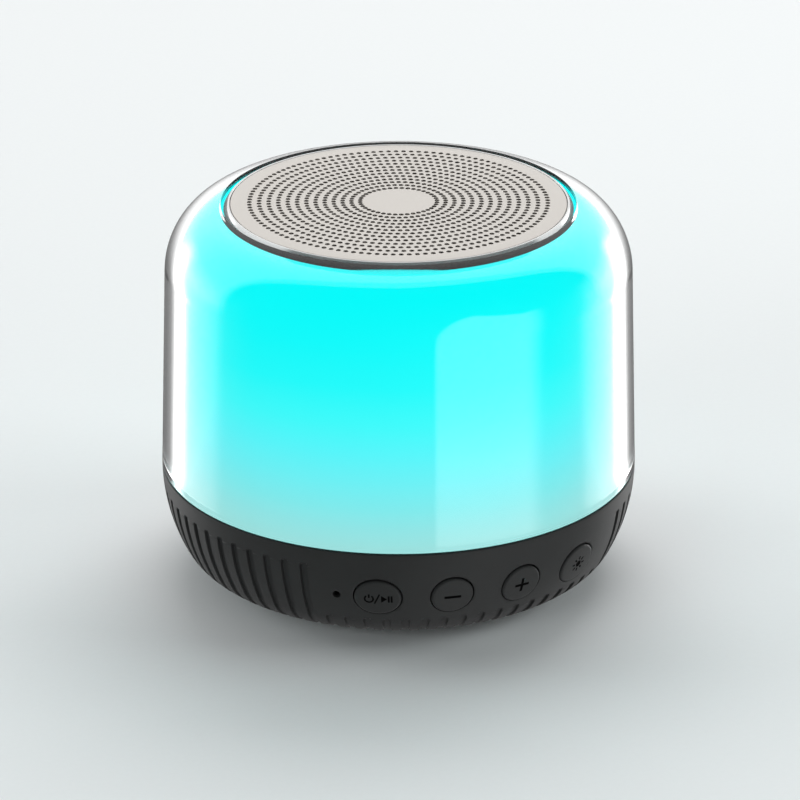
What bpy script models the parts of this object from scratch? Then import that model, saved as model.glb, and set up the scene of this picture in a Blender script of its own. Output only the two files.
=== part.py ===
"""Small round portable speaker with a glowing clear body, as an assembly of separate pieces.

Metres, +Z up. The origin is the centre of the foot ring's resting face, and the middle of the
button row faces -Y. Turned pieces are outlines of (radius, height) points spun about Z, and each
piece keeps GAP to its neighbours.
"""

from math import acos, asin, atan, cos, pi, radians, sin, sqrt, tan

import bmesh
import bpy
from mathutils import Matrix, Vector

MM = 0.001
GAP = 0.3 * MM
SHELL_ROUND = 48  # sides of the outer shell and the ring in it
ROUND = 36  # sides of the other large turned pieces
SMALL_ROUND = 24  # sides of a driver piece
BORE_ROUND = 8  # sides of a screw and of its hole

# Base housing, from the joint with the clear shell down to its flat underside
JOINT_RADIUS = 46 * MM
JOINT_HEIGHT = 22 * MM
FLANK_BEND = 33 * MM
HEEL_BEND = 9 * MM
HEEL_HEIGHT = 6.8 * MM
CAVITY_RADIUS = 41.5 * MM
CAVITY_BEND_HEIGHT = 8.0 * MM
SHELF_HEIGHT = 19.2 * MM
SHELF_RADIUS = 44 * MM
LEDGE_RADIUS = 27.5 * MM
LEDGE_BOTTOM = 4.7 * MM
LEDGE_TOP = 7.2 * MM
CAVITY_CORNER = 1.5 * MM
WALL_CUT_IN = 38 * MM  # radii between which the cutters of the base's side openings run
WALL_CUT_OUT = 50 * MM
OVERSHOOT = 1 * MM  # how far another cutter runs past the face it opens

# Grip grooves round the base
GROOVES = 73
GROOVE_DEPTH = 0.6 * MM
GROOVE_TOP = 18.5 * MM
SHORT_GROOVE_TOP = 7.2 * MM
GROOVE_FOOT = 3.2 * MM
GROOVE_RUN_IN = 0.7 * MM
GROOVE_SHARE = 0.54  # of the pitch
PANEL_HALF_PITCHES = 9  # the smooth button panel, either side of the front
PORT_HALF_PITCHES = 2  # the smooth land round the charging port, either side of the rear

# Bottom cover, foot and their screws
COVER_RADIUS = 33.0 * MM
COVER_BOTTOM = 1.2 * MM
COVER_TOP = 4.4 * MM
FOOT_INNER = 26.0 * MM
FOOT_OUTER = 31.6 * MM
FOOT_TOP = 1.9 * MM
FOOT_CHAMFER = 0.4 * MM
COVER_CHAMFER = 0.5 * MM
COVER_SCREWS = 4
COVER_SCREW_CIRCLE = 29.4 * MM
COVER_SCREW_SHANK = 3.6 * MM
COVER_SCREW_SEAT = 3.4 * MM  # height of the step that a cover screw's head is driven against
HEAD_WELL = 2.1 * MM

# Screws, which are all alike but for their length
SCREW_HOLE = 1.25 * MM
SCREW_HEAD = 0.9 * MM
SCREW_HEAD_RADIUS = 1.75 * MM
SCREW_SHANK_RADIUS = 0.95 * MM
SCREW_RECESS = 0.5 * MM
SCREW_RECESS_RADIUS = 0.8 * MM
SCREW_FIRST = 45.0  # degrees from +X

# Clear outer shell and the milky diffuser inside it
SHOULDER_CENTRE = (32.2 * MM, 61.2 * MM)
SHOULDER_HALF_WIDTH = 12.5 * MM
SHOULDER_HALF_HEIGHT = 13.6 * MM
SHELL_WALL = 2.4 * MM
SHELL_MOUTH = 33.8 * MM
DIFFUSER_WALL = 1.6 * MM
DIFFUSER_MOUTH = 34.0 * MM

# Mounting plate, light board and speaker chamber
PLATE_BOTTOM = SHELF_HEIGHT + GAP
PLATE_TOP = 21.0 * MM
PLATE_RADIUS = 43.4 * MM
PLATE_BORE = 4 * MM
PLATE_SLOT = (12 * MM, 8 * MM)
PLATE_SLOT_PLACE = 18 * MM
PLATE_POSTS = 3
PLATE_POST_CIRCLE = 33 * MM
PLATE_POST_RADIUS = 2.4 * MM
LIGHT_BOARD_INNER = 34.4 * MM
LIGHT_BOARD_OUTER = 41.2 * MM
LIGHT_BOARD_BOTTOM = PLATE_TOP + GAP
LIGHT_BOARD_TOP = LIGHT_BOARD_BOTTOM + 1.0 * MM
LIGHTS = 8
LIGHT_CIRCLE = 38.0 * MM
LIGHT_SIZE = (3.5 * MM, 3.5 * MM, 1.6 * MM)
LIGHT_BEVEL = 0.2 * MM
CHAMBER_RADIUS = 33.0 * MM
CHAMBER_WALL = 2.0 * MM
CHAMBER_TOP = 72.0 * MM
BAFFLE_TOP = 66.8 * MM
BAFFLE_THICKNESS = 2.0 * MM
BAFFLE_HOLE = 25.8 * MM

# Trim ring and grille
GRILLE_TOP = 74.7 * MM
GRILLE_RADIUS = 32.0 * MM
GRILLE_THICKNESS = 1.0 * MM
RING_RADIUS = 33.4 * MM
RING_EDGE_HEIGHT = 73.8 * MM
RING_SHELF_RADIUS = 30.2 * MM
GRILLE_CHAMFER = 0.25 * MM
UNDER_GRILLE = GRILLE_TOP - GRILLE_THICKNESS - GAP
CLOTH_RADIUS = 29.8 * MM
CLOTH_THICKNESS = 0.3 * MM

# Driver, upwards from the baffle
FLANGE_RADIUS = 30.2 * MM
FLANGE_BOTTOM = BAFFLE_TOP + GAP
FLANGE_TOP = FLANGE_BOTTOM + 1.0 * MM
DRIVER_SCREWS = 4
DRIVER_SCREW_CIRCLE = 28.5 * MM
DRIVER_SCREW_SHANK = 4.6 * MM
SCREW_HOLE_DEPTH = 3 * MM
BASKET_SEAT = FLANGE_BOTTOM - 11.6 * MM
BASKET_SKIN = 1.0 * MM
BASKET_MOUTH = 24.2 * MM
BASKET_FLOOR = 17.2 * MM
BASKET_BORE = 9.8 * MM
BASKET_WINDOWS = 4
WINDOW_SIZE = (15 * MM, 12 * MM, 3.6 * MM)
WINDOW_PLACE = (22 * MM, 4.6 * MM)  # radius, and height over the seat
GASKET_INNER = 25.2 * MM
GASKET_OUTER = 26.6 * MM
GASKET_BOTTOM = FLANGE_TOP + 1.1 * MM
STEEL_RADIUS = 14.0 * MM
STEEL_THICKNESS = 3.0 * MM
MAGNET_RADIUS = 15.0 * MM
MAGNET_BORE = 9.4 * MM
MAGNET_THICKNESS = 8.0 * MM
COIL_INNER = 7.2 * MM
COIL_OUTER = 8.0 * MM
COIL_FORMER = 0.4 * MM
COIL_TOP = BASKET_SEAT + 5.4 * MM
WINDING_TOP = BASKET_SEAT + 0.6 * MM
COIL_BOTTOM = BASKET_SEAT - 5.4 * MM
PAPER = 0.4 * MM
CONE_RADIUS = 20.4 * MM
CONE_TOP = FLANGE_TOP - 0.5 * MM
CONE_FLARE = 0.85
CAP_RADIUS = 9.6 * MM
CAP_EDGE = COIL_TOP + 1.6 * MM
CAP_RISE = 2.6 * MM
SURROUND_BOTTOM = FLANGE_TOP + GAP
SURROUND_SKIN = 0.4 * MM
SURROUND_INNER = 18.8 * MM
SURROUND_OUTER = 26.8 * MM
ROLL_CENTRE = 22.2 * MM
ROLL_RADIUS = 1.6 * MM
SPIDER_HEIGHT = BASKET_SEAT + 3.0 * MM
SPIDER_INNER = 8.0 * MM
SPIDER_OUTER = 17.114 * MM
SPIDER_WAVE = 0.35 * MM
SPIDER_SKIN = 0.3 * MM

# Buttons: name, degrees from the front towards +X, opening width, opening height
BUTTON_HEIGHT = 12.7 * MM
BUTTONS = (
    ("power", -27.0, 9.3 * MM, 8.2 * MM),
    ("volume_down", -9.0, 8.4 * MM, 8.2 * MM),
    ("volume_up", 9.0, 8.4 * MM, 8.2 * MM),
    ("light", 27.0, 9.3 * MM, 8.2 * MM),
)
BUTTON_SIDES = 20
BUTTON_GAP = 0.28 * MM
BUTTON_PROUD = 0.3 * MM
BUTTON_BEVEL = 0.35 * MM
CAP_FLANGE_OUT = 40.8 * MM
CAP_FLANGE_IN = 39.8 * MM
CAP_FLANGE_LIP = 0.5 * MM
SWITCH_FRONT = 38.1 * MM
SWITCH_DEPTH = 3.6 * MM
SWITCH_WIDTH = 6.0 * MM
SWITCH_TALL = 3.9 * MM
SWITCH_RISE = 0.25 * MM  # of the switch's middle over the plunger's axis
SWITCH_BORE = 1.7 * MM
PLUNGER_RADIUS = 1.4 * MM
PLUNGER_SLACK = 0.2 * MM
PLUNGER_BACK = SWITCH_FRONT - SWITCH_BORE + 0.8 * MM

# Microphone behind its hole
MIC_ANGLE = -37.0
MIC_HOLE = 0.78 * MM
MIC_SIDES = 16
CAPSULE_RADIUS = 1.1 * MM
CAPSULE_BACK = 38.8 * MM
CAPSULE_FRONT = 40.2 * MM
BOOT_MIDDLE = 40.5 * MM
BOOT_LIP = 0.6 * MM
BOOT_INNER = 1.4 * MM
BOOT_OUTER = 1.75 * MM
BOOT_DEPTH = 1.5 * MM

# Boards, battery, charging port and leads
BOARD_BOTTOM = 15.0 * MM
BOARD_TOP = 16.2 * MM
BOARD_RADIUS = 38.4 * MM
BOARD_SLOT = (6 * MM, 10 * MM)
BOARD_SLOT_PLACE = 26 * MM
MODULE = (13 * MM, 17 * MM, 2.2 * MM)
MODULE_PLACE = (-12 * MM, 12 * MM)
MODULE_BEVEL = 0.3 * MM
PAD = (38 * MM, 28 * MM, 0.5 * MM)
BATTERY = (42.0 * MM, 32.0 * MM, 6.0 * MM)
BATTERY_BEVEL = 1.2 * MM
PORT_WIDTH = 9.0 * MM
PORT_TALL = 3.2 * MM
PORT_DEPTH = 7.4 * MM
PORT_FACE = 42.6 * MM
PORT_WALL = 0.35 * MM
PORT_BACK_WALL = 0.8 * MM
PORT_STEPS = 6  # along each round end of the slot
TONGUE = (6.6 * MM, 5.0 * MM, 0.7 * MM)
LEAD_STEPS = 3  # along each stretch of a lead's route
SPEAKER_LEAD = 0.8 * MM
SPEAKER_LEAD_ROUTE = (
    (26 * MM, 0, BOARD_TOP + 0.6 * MM),
    (22 * MM, 0, 18 * MM),
    (18 * MM, 0, 24 * MM),
    (19 * MM, 0, 34 * MM),
    (22 * MM, 0, 46 * MM),
    (21.5 * MM, 0, 55 * MM),
)
BATTERY_LEAD = 0.7 * MM
BATTERY_LEAD_ROUTE = (
    (22.2 * MM, 6 * MM, 8.6 * MM),
    (25 * MM, 6 * MM, 9.4 * MM),
    (26.5 * MM, 4 * MM, 11.6 * MM),
    (26 * MM, 2 * MM, 14.2 * MM),
)


# ---------------------------------------------------------------- helpers


def clear_scene():
    for thing in list(bpy.data.objects):
        bpy.data.objects.remove(thing, do_unlink=True)


def material(name, colour, roughness, metallic=0.0, alpha=1.0, glow=0.0):
    made = bpy.data.materials.new(name)
    made.use_nodes = True
    shader = made.node_tree.nodes["Principled BSDF"]
    shader.inputs["Base Color"].default_value = (*colour, 1.0)
    shader.inputs["Roughness"].default_value = roughness
    shader.inputs["Metallic"].default_value = metallic
    shader.inputs["Alpha"].default_value = alpha
    shader.inputs["Emission Color"].default_value = (*colour, 1.0)
    shader.inputs["Emission Strength"].default_value = glow
    return made


def piece(name, bm, finish, parent=None):
    """The bmesh as an object of its own, in the scene, shaded smooth up to 30 degrees."""
    bmesh.ops.remove_doubles(bm, verts=bm.verts, dist=1e-6)
    bmesh.ops.recalc_face_normals(bm, faces=bm.faces)
    mesh = bpy.data.meshes.new(name)
    bm.to_mesh(mesh)
    bm.free()
    mesh.shade_smooth()
    mesh.set_sharp_from_angle(angle=radians(30))
    mesh.materials.append(finish)
    thing = bpy.data.objects.new(name, mesh)
    bpy.context.scene.collection.objects.link(thing)
    thing.parent = parent
    return thing


def axis_empty(name, degrees=0.0, height=0.0):
    """An empty on the Z axis, turned so that its -Y faces the given angle from the front."""
    empty = bpy.data.objects.new(name, None)
    bpy.context.scene.collection.objects.link(empty)
    empty.location = (0, 0, height)
    empty.rotation_euler = (0, 0, radians(degrees))
    return empty


def spun(outline, sides):
    """A bmesh of the closed (radius, height) outline, spun once round Z."""
    bm = bmesh.new()
    points = [bm.verts.new((radius, 0, height)) for radius, height in outline]
    edges = [bm.edges.new((a, b)) for a, b in zip(points, points[1:] + points[:1])]
    on_axis = [e for e in edges if all(v.co.x < 1e-7 for v in e.verts)]
    kept = [e for e in edges if e not in on_axis]
    bmesh.ops.spin(
        bm, geom=points + kept, cent=(0, 0, 0), axis=(0, 0, 1), angle=2 * pi, steps=sides,
        use_merge=True,
    )
    bmesh.ops.remove_doubles(bm, verts=bm.verts, dist=1e-6)
    loose = [e for e in bm.edges if not e.link_faces]
    bmesh.ops.delete(bm, geom=loose, context="EDGES")
    return bm


def turned(name, outline, finish, sides=ROUND, parent=None):
    return piece(name, spun(outline, sides), finish, parent)


def skinned(rings):
    """A bmesh of equal rings of points joined one to the next, its two ends closed."""
    bm = bmesh.new()
    loops = [[bm.verts.new(point) for point in ring] for ring in rings]
    for low, high in zip(loops, loops[1:]):
        for i in range(len(low)):
            bm.faces.new((low[i - 1], low[i], high[i], high[i - 1]))
    bm.faces.new(loops[0])
    bm.faces.new(loops[-1])
    return bm


def block(name, size, centre, finish, bevel=0.0, parent=None):
    bm = bmesh.new()
    place = Matrix.Translation(centre) @ Matrix.Diagonal((*size, 1))
    bmesh.ops.create_cube(bm, size=1, matrix=place)
    if bevel:
        bmesh.ops.bevel(bm, geom=bm.edges[:], offset=bevel, segments=1, affect="EDGES")
    return piece(name, bm, finish, parent)


def rod(name, radius, start, end, finish, sides=BORE_ROUND, parent=None):
    """A round bar between two points."""
    start, end = Vector(start), Vector(end)
    along = end - start
    place = Matrix.Translation((start + end) / 2) @ along.to_track_quat("Z", "Y").to_matrix().to_4x4()
    bm = bmesh.new()
    bmesh.ops.create_cone(
        bm, cap_ends=True, segments=sides, radius1=radius, radius2=radius, depth=along.length,
        matrix=place,
    )
    return piece(name, bm, finish, parent)


def boolean(target, tool, operation="DIFFERENCE"):
    tool.hide_render = True
    tool.display_type = "WIRE"
    change = target.modifiers.new(tool.name, "BOOLEAN")
    change.operation = operation
    change.object = tool


def around(count, radius, height, first=0.0):
    """Points spread evenly round Z, the first at an angle in degrees from +X."""
    for i in range(count):
        angle = radians(first) + 2 * pi * i / count
        yield Vector((radius * cos(angle), radius * sin(angle), height))


# ---------------------------------------------------------------- shared curves


def base_radius(height):
    """The base's outer radius: a gentle flank, then a tighter heel tangent to it."""
    drop = JOINT_HEIGHT - height
    if height >= HEEL_HEIGHT:
        return JOINT_RADIUS - (FLANK_BEND - sqrt(FLANK_BEND**2 - drop**2))
    lean = asin((JOINT_HEIGHT - HEEL_HEIGHT) / FLANK_BEND)
    centre_radius = base_radius(HEEL_HEIGHT) - HEEL_BEND * cos(lean)
    centre_height = HEEL_HEIGHT + HEEL_BEND * sin(lean)
    return centre_radius + sqrt(max(0.0, HEEL_BEND**2 - (centre_height - height) ** 2))


def base_bottom():
    lean = asin((JOINT_HEIGHT - HEEL_HEIGHT) / FLANK_BEND)
    return HEEL_HEIGHT - HEEL_BEND * (1 - sin(lean))


def body_curve(inset, bottom, mouth, steps):
    """Wall and shoulder of the clear body, moved in by inset, from its bottom to its mouth."""
    width = SHOULDER_HALF_WIDTH - inset
    tall = SHOULDER_HALF_HEIGHT - inset
    foot = JOINT_RADIUS - inset
    middle, height = SHOULDER_CENTRE
    lean = atan((JOINT_RADIUS - middle - SHOULDER_HALF_WIDTH) / (height - JOINT_HEIGHT))
    first = atan(tall / width * tan(lean))
    last = acos((mouth - middle) / width)
    points = [(foot - (bottom - JOINT_HEIGHT) * tan(lean), bottom)]
    for step in range(steps + 1):
        angle = first + (last - first) * step / steps
        points.append((middle + width * cos(angle), height + tall * sin(angle)))
    return points


# ---------------------------------------------------------------- base


def is_short(groove):
    """Whether a groove lies under the button panel or the charging port."""
    from_front = min(groove, GROOVES - groove)
    return from_front < PANEL_HALF_PITCHES or GROOVES / 2 - from_front < PORT_HALF_PITCHES


def base_row(height, depth_long, depth_short):
    """One ring of the grooved base: each groove's floor, then the two edges of the rib beside it."""
    ring = []
    pitch = 2 * pi / GROOVES
    for i in range(GROOVES):
        depth = depth_short if is_short(i) else depth_long
        offsets = ((0, depth), (GROOVE_SHARE / 2, 0), (1 - GROOVE_SHARE / 2, 0))
        for share, cut in offsets:
            angle = (i + share) * pitch
            radius = base_radius(height) - cut
            ring.append((radius * sin(angle), -radius * cos(angle), height))
    return ring


def make_base_housing(finish):
    full = GROOVE_DEPTH
    rows = (
        (base_bottom() + 1e-6, 0, 0),
        (GROOVE_FOOT, full, full),
        (SHORT_GROOVE_TOP - GROOVE_RUN_IN, full, full),
        (SHORT_GROOVE_TOP, full, 0),
        ((SHORT_GROOVE_TOP + GROOVE_TOP) / 2, full, 0),
        (GROOVE_TOP - GROOVE_RUN_IN, full, 0),
        (GROOVE_TOP, 0, 0),
        (JOINT_HEIGHT, 0, 0),
    )
    housing = piece("base_housing", skinned([base_row(*row) for row in rows]), finish)
    above = JOINT_HEIGHT + OVERSHOOT
    cavity = turned("cavity_cutter", [
        (0, above),
        (SHELF_RADIUS, above),
        (SHELF_RADIUS, SHELF_HEIGHT),
        (CAVITY_RADIUS, SHELF_HEIGHT),
        (CAVITY_RADIUS, CAVITY_BEND_HEIGHT),
        (CAVITY_RADIUS - CAVITY_CORNER, LEDGE_TOP),
        (LEDGE_RADIUS, LEDGE_TOP),
        (LEDGE_RADIUS, LEDGE_BOTTOM),
        (COVER_RADIUS + GAP, LEDGE_BOTTOM),
        (COVER_RADIUS + GAP, -OVERSHOOT),
        (0, -OVERSHOOT),
    ], finish)
    boolean(housing, cavity)
    for name, degrees, width, height in BUTTONS:
        place = axis_empty(f"{name}_opening", degrees, BUTTON_HEIGHT)
        rings = [button_ring(width / 2, height / 2, out) for out in (WALL_CUT_IN, WALL_CUT_OUT)]
        boolean(housing, piece(f"{name}_cutter", skinned(rings), finish, place))
    place = axis_empty("mic_opening", MIC_ANGLE, BUTTON_HEIGHT)
    ends = (0, -WALL_CUT_IN, 0), (0, -WALL_CUT_OUT, 0)
    boolean(housing, rod("mic_cutter", MIC_HOLE, *ends, finish, MIC_SIDES, place))
    place = axis_empty("port_opening", 180, BUTTON_HEIGHT)
    half, tall = PORT_WIDTH / 2 + GAP, PORT_TALL / 2 + GAP
    rings = [port_ring(half, tall, out) for out in (WALL_CUT_IN, WALL_CUT_OUT)]
    boolean(housing, piece("port_cutter", skinned(rings), finish, place))
    for i, spot in enumerate(around(COVER_SCREWS, COVER_SCREW_CIRCLE, 0, SCREW_FIRST)):
        top = spot + Vector((0, 0, LEDGE_TOP + OVERSHOOT))
        boolean(housing, rod(f"boss_cutter_{i + 1}", SCREW_HOLE, spot, top, finish))


def make_bottom_cover(finish):
    recess = FOOT_TOP + GAP
    cover = turned("bottom_cover", [
        (0, COVER_TOP),
        (COVER_RADIUS, COVER_TOP),
        (COVER_RADIUS, COVER_BOTTOM + COVER_CHAMFER),
        (COVER_RADIUS - COVER_CHAMFER, COVER_BOTTOM),
        (FOOT_OUTER + GAP, COVER_BOTTOM),
        (FOOT_OUTER + GAP, recess),
        (FOOT_INNER - GAP, recess),
        (FOOT_INNER - GAP, COVER_BOTTOM),
        (0, COVER_BOTTOM),
    ], finish)
    for i, spot in enumerate(around(COVER_SCREWS, COVER_SCREW_CIRCLE, 0, SCREW_FIRST)):
        well = turned(f"cover_cutter_{i + 1}", [
            (0, COVER_TOP + OVERSHOOT),
            (SCREW_HOLE, COVER_TOP + OVERSHOOT),
            (SCREW_HOLE, COVER_SCREW_SEAT),
            (HEAD_WELL, COVER_SCREW_SEAT),
            (HEAD_WELL, 0),
            (0, 0),
        ], finish, BORE_ROUND)
        well.location = spot
        boolean(cover, well)


def make_foot(finish):
    turned("foot_ring", [
        (FOOT_OUTER, FOOT_TOP),
        (FOOT_OUTER, FOOT_CHAMFER),
        (FOOT_OUTER - FOOT_CHAMFER, 0),
        (FOOT_INNER + FOOT_CHAMFER, 0),
        (FOOT_INNER, FOOT_CHAMFER),
        (FOOT_INNER, FOOT_TOP),
    ], finish)


def make_screws(name, count, circle, seat, shank, upside_down, finish):
    """Screws with a recessed head, resting on seat, their shank reaching away from the head."""
    taper = 0.2 * MM
    outline = [
        (0, SCREW_HEAD - SCREW_RECESS),
        (SCREW_RECESS_RADIUS, SCREW_HEAD),
        (SCREW_HEAD_RADIUS - taper, SCREW_HEAD),
        (SCREW_HEAD_RADIUS, 0),
        (SCREW_SHANK_RADIUS, 0),
        (SCREW_SHANK_RADIUS, -shank + 2 * taper),
        (0, -shank),
    ]
    for i, spot in enumerate(around(count, circle, seat, SCREW_FIRST)):
        screw = turned(f"{name}_{i + 1}", outline, finish, BORE_ROUND)
        screw.location = spot
        screw.rotation_euler = (pi if upside_down else 0, 0, 0)


# ---------------------------------------------------------------- buttons


def button_ring(half_width, half_height, depth):
    """An oval ring of points at a depth from the Z axis, in the button's own frame."""
    ring = []
    for i in range(BUTTON_SIDES):
        angle = 2 * pi * i / BUTTON_SIDES
        ring.append((half_width * cos(angle), -depth, half_height * sin(angle)))
    return ring


def port_ring(half_width, half_height, depth):
    """A slot with round ends, as a ring of points at a depth from the Z axis."""
    ring = []
    for side in (1, -1):
        for step in range(PORT_STEPS + 1):
            angle = -pi / 2 + pi * step / PORT_STEPS
            across = half_width - half_height + half_height * cos(angle)
            ring.append((side * across, -depth, side * half_height * sin(angle)))
    return ring


def button_face_ring(half_width, half_height, share, sunk):
    """A ring on the cap's face, which follows the base's curve and stands a little proud."""
    ring = []
    for x, _, z in button_ring(half_width * share, half_height * share, 0):
        out = sqrt(base_radius(BUTTON_HEIGHT + z) ** 2 - x**2)
        ring.append((x, -(out + BUTTON_PROUD - sunk), z))
    return ring


def make_button(name, degrees, width, height, finish, switch_finish, plunger_finish):
    place = axis_empty(f"{name}_button_axis", degrees, BUTTON_HEIGHT)
    half_width, half_height = width / 2 - BUTTON_GAP, height / 2 - BUTTON_GAP
    rim = 1 - BUTTON_BEVEL / half_height
    rings = [
        button_face_ring(half_width, half_height, 0.5, 0),
        button_face_ring(half_width, half_height, rim, 0),
        button_face_ring(half_width, half_height, 1, BUTTON_BEVEL),
        button_ring(half_width, half_height, CAP_FLANGE_OUT),
        button_ring(half_width + CAP_FLANGE_LIP, half_height + CAP_FLANGE_LIP, CAP_FLANGE_OUT),
        button_ring(half_width + CAP_FLANGE_LIP, half_height + CAP_FLANGE_LIP, CAP_FLANGE_IN),
    ]
    piece(f"{name}_button", skinned(rings), finish, place)
    ends = (0, -PLUNGER_BACK, 0), (0, -(CAP_FLANGE_IN - GAP), 0)
    rod(f"{name}_plunger", PLUNGER_RADIUS, *ends, plunger_finish, parent=place)
    middle = (0, -(SWITCH_FRONT - SWITCH_DEPTH / 2), SWITCH_RISE)
    size = (SWITCH_WIDTH, SWITCH_DEPTH, SWITCH_TALL)
    switch = block(f"{name}_switch", size, middle, switch_finish, parent=place)
    ends = (0, -(SWITCH_FRONT - SWITCH_BORE), 0), (0, -(SWITCH_FRONT + OVERSHOOT), 0)
    bore = rod(f"{name}_bore", PLUNGER_RADIUS + PLUNGER_SLACK, *ends, switch_finish, parent=place)
    boolean(switch, bore)


def make_microphone(finish, rubber):
    place = axis_empty("microphone_axis", MIC_ANGLE, BUTTON_HEIGHT)
    ends = (0, -CAPSULE_BACK, 0), (0, -CAPSULE_FRONT, 0)
    rod("microphone", CAPSULE_RADIUS, *ends, finish, MIC_SIDES, place)
    boot = spun([
        (BOOT_LIP, BOOT_LIP),
        (BOOT_OUTER, BOOT_LIP),
        (BOOT_OUTER, -BOOT_DEPTH),
        (BOOT_INNER, -BOOT_DEPTH),
        (BOOT_INNER, 0),
        (BOOT_LIP, 0),
    ], MIC_SIDES)
    facing_out = Matrix.Translation((0, -BOOT_MIDDLE, 0)) @ Matrix.Rotation(pi / 2, 4, "X")
    bmesh.ops.transform(boot, matrix=facing_out, verts=boot.verts)
    piece("microphone_boot", boot, rubber, place)


# ---------------------------------------------------------------- boards and battery


def make_boards(board, metal):
    main = turned("main_board", [
        (0, BOARD_TOP),
        (BOARD_RADIUS, BOARD_TOP),
        (BOARD_RADIUS, BOARD_BOTTOM),
        (0, BOARD_BOTTOM),
    ], board)
    size = (*BOARD_SLOT, 2 * (BOARD_TOP - BOARD_BOTTOM + OVERSHOOT))
    boolean(main, block("board_cutter", size, (BOARD_SLOT_PLACE, 0, BOARD_BOTTOM), board))
    middle = (*MODULE_PLACE, BOARD_TOP + GAP + MODULE[2] / 2)
    block("bluetooth_module", MODULE, middle, metal, MODULE_BEVEL)


def make_battery(cell, foam):
    pad_middle = COVER_TOP + GAP + PAD[2] / 2
    block("battery_pad", PAD, (0, 0, pad_middle), foam)
    cell_middle = pad_middle + PAD[2] / 2 + GAP + BATTERY[2] / 2
    block("battery_cell", BATTERY, (0, 0, cell_middle), cell, BATTERY_BEVEL)


def make_charging_port(metal, dark):
    place = axis_empty("port_axis", 180, BUTTON_HEIGHT)
    half, tall = PORT_WIDTH / 2, PORT_TALL / 2
    back = PORT_FACE - PORT_DEPTH
    floor = back + PORT_BACK_WALL
    rings = [port_ring(half, tall, out) for out in (PORT_FACE, back)]
    shell = piece("charging_port_shell", skinned(rings), metal, place)
    half, tall = half - PORT_WALL, tall - PORT_WALL
    rings = [port_ring(half, tall, out) for out in (PORT_FACE + OVERSHOOT, floor)]
    boolean(shell, piece("port_mouth_cutter", skinned(rings), metal, place))
    middle = (0, -(floor + GAP + TONGUE[1] / 2), 0)
    block("charging_port_tongue", TONGUE, middle, dark, parent=place)


def make_lead(name, radius, route, finish):
    """A thin round lead along a smooth curve through the route's points."""
    points = []
    last = len(route) - 1
    for i in range(last):
        p0, p1, p2, p3 = (Vector(route[max(0, min(last, i + k))]) for k in (-1, 0, 1, 2))
        for step in range(LEAD_STEPS):
            t = step / LEAD_STEPS
            points.append(
                (2 * p1 + (p2 - p0) * t + (2 * p0 - 5 * p1 + 4 * p2 - p3) * t**2
                 + (3 * p1 - p0 - 3 * p2 + p3) * t**3) / 2
            )
    points.append(Vector(route[-1]))
    curve = bpy.data.curves.new(name, "CURVE")
    curve.dimensions = "3D"
    spline = curve.splines.new("POLY")
    spline.points.add(len(points) - 1)
    for spot, place in zip(spline.points, points):
        spot.co = (*place, 1)
    curve.bevel_depth = radius
    curve.bevel_resolution = 1
    curve.use_fill_caps = True
    curve.materials.append(finish)
    thing = bpy.data.objects.new(name, curve)
    bpy.context.scene.collection.objects.link(thing)


def make_lights(board, lamp):
    turned("light_board", [
        (LIGHT_BOARD_OUTER, LIGHT_BOARD_TOP),
        (LIGHT_BOARD_OUTER, LIGHT_BOARD_BOTTOM),
        (LIGHT_BOARD_INNER, LIGHT_BOARD_BOTTOM),
        (LIGHT_BOARD_INNER, LIGHT_BOARD_TOP),
    ], board)
    middle = (0, -LIGHT_CIRCLE, LIGHT_SIZE[2] / 2)
    for i in range(LIGHTS):
        place = axis_empty(f"led_{i + 1}_place", 360 * (i + 0.5) / LIGHTS, LIGHT_BOARD_TOP + GAP)
        block(f"led_{i + 1}", LIGHT_SIZE, middle, lamp, LIGHT_BEVEL, place)


# ---------------------------------------------------------------- body and chamber


def make_mounting_plate(finish):
    plate = turned("mounting_plate", [
        (PLATE_BORE, PLATE_TOP),
        (PLATE_RADIUS, PLATE_TOP),
        (PLATE_RADIUS, PLATE_BOTTOM),
        (PLATE_BORE, PLATE_BOTTOM),
    ], finish)
    size = (*PLATE_SLOT, 2 * (PLATE_TOP - PLATE_BOTTOM + OVERSHOOT))
    boolean(plate, block("lead_slot_cutter", size, (PLATE_SLOT_PLACE, 0, PLATE_TOP), finish))
    middle = (PLATE_BOTTOM + PLATE_TOP) / 2
    for i, spot in enumerate(around(PLATE_POSTS, PLATE_POST_CIRCLE, 0, 90)):
        ends = spot + Vector((0, 0, BOARD_TOP + GAP)), spot + Vector((0, 0, middle))
        boolean(plate, rod(f"plate_post_{i + 1}", PLATE_POST_RADIUS, *ends, finish), "UNION")


def make_body(clear, milky, white):
    outer = body_curve(0, JOINT_HEIGHT + GAP, SHELL_MOUTH, 6)
    inner = body_curve(SHELL_WALL, JOINT_HEIGHT + GAP, SHELL_MOUTH, 4)
    turned("outer_shell", outer[::-1] + inner, clear, SHELL_ROUND)
    inset = SHELL_WALL + GAP
    foot = PLATE_TOP + GAP
    outer = body_curve(inset, foot, DIFFUSER_MOUTH, 4)
    inner = body_curve(inset + DIFFUSER_WALL, foot, DIFFUSER_MOUTH, 3)
    turned("light_diffuser", outer[::-1] + inner, milky)
    bore = CHAMBER_RADIUS - CHAMBER_WALL
    chamber = turned("speaker_chamber", [
        (CHAMBER_RADIUS, CHAMBER_TOP),
        (CHAMBER_RADIUS, PLATE_TOP + GAP),
        (bore, PLATE_TOP + GAP),
        (bore, BAFFLE_TOP - BAFFLE_THICKNESS),
        (BAFFLE_HOLE, BAFFLE_TOP - BAFFLE_THICKNESS),
        (BAFFLE_HOLE, BAFFLE_TOP),
        (bore, BAFFLE_TOP),
        (bore, CHAMBER_TOP),
    ], white)
    cut_driver_screw_holes(chamber, "baffle", BAFFLE_TOP, white)


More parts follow.
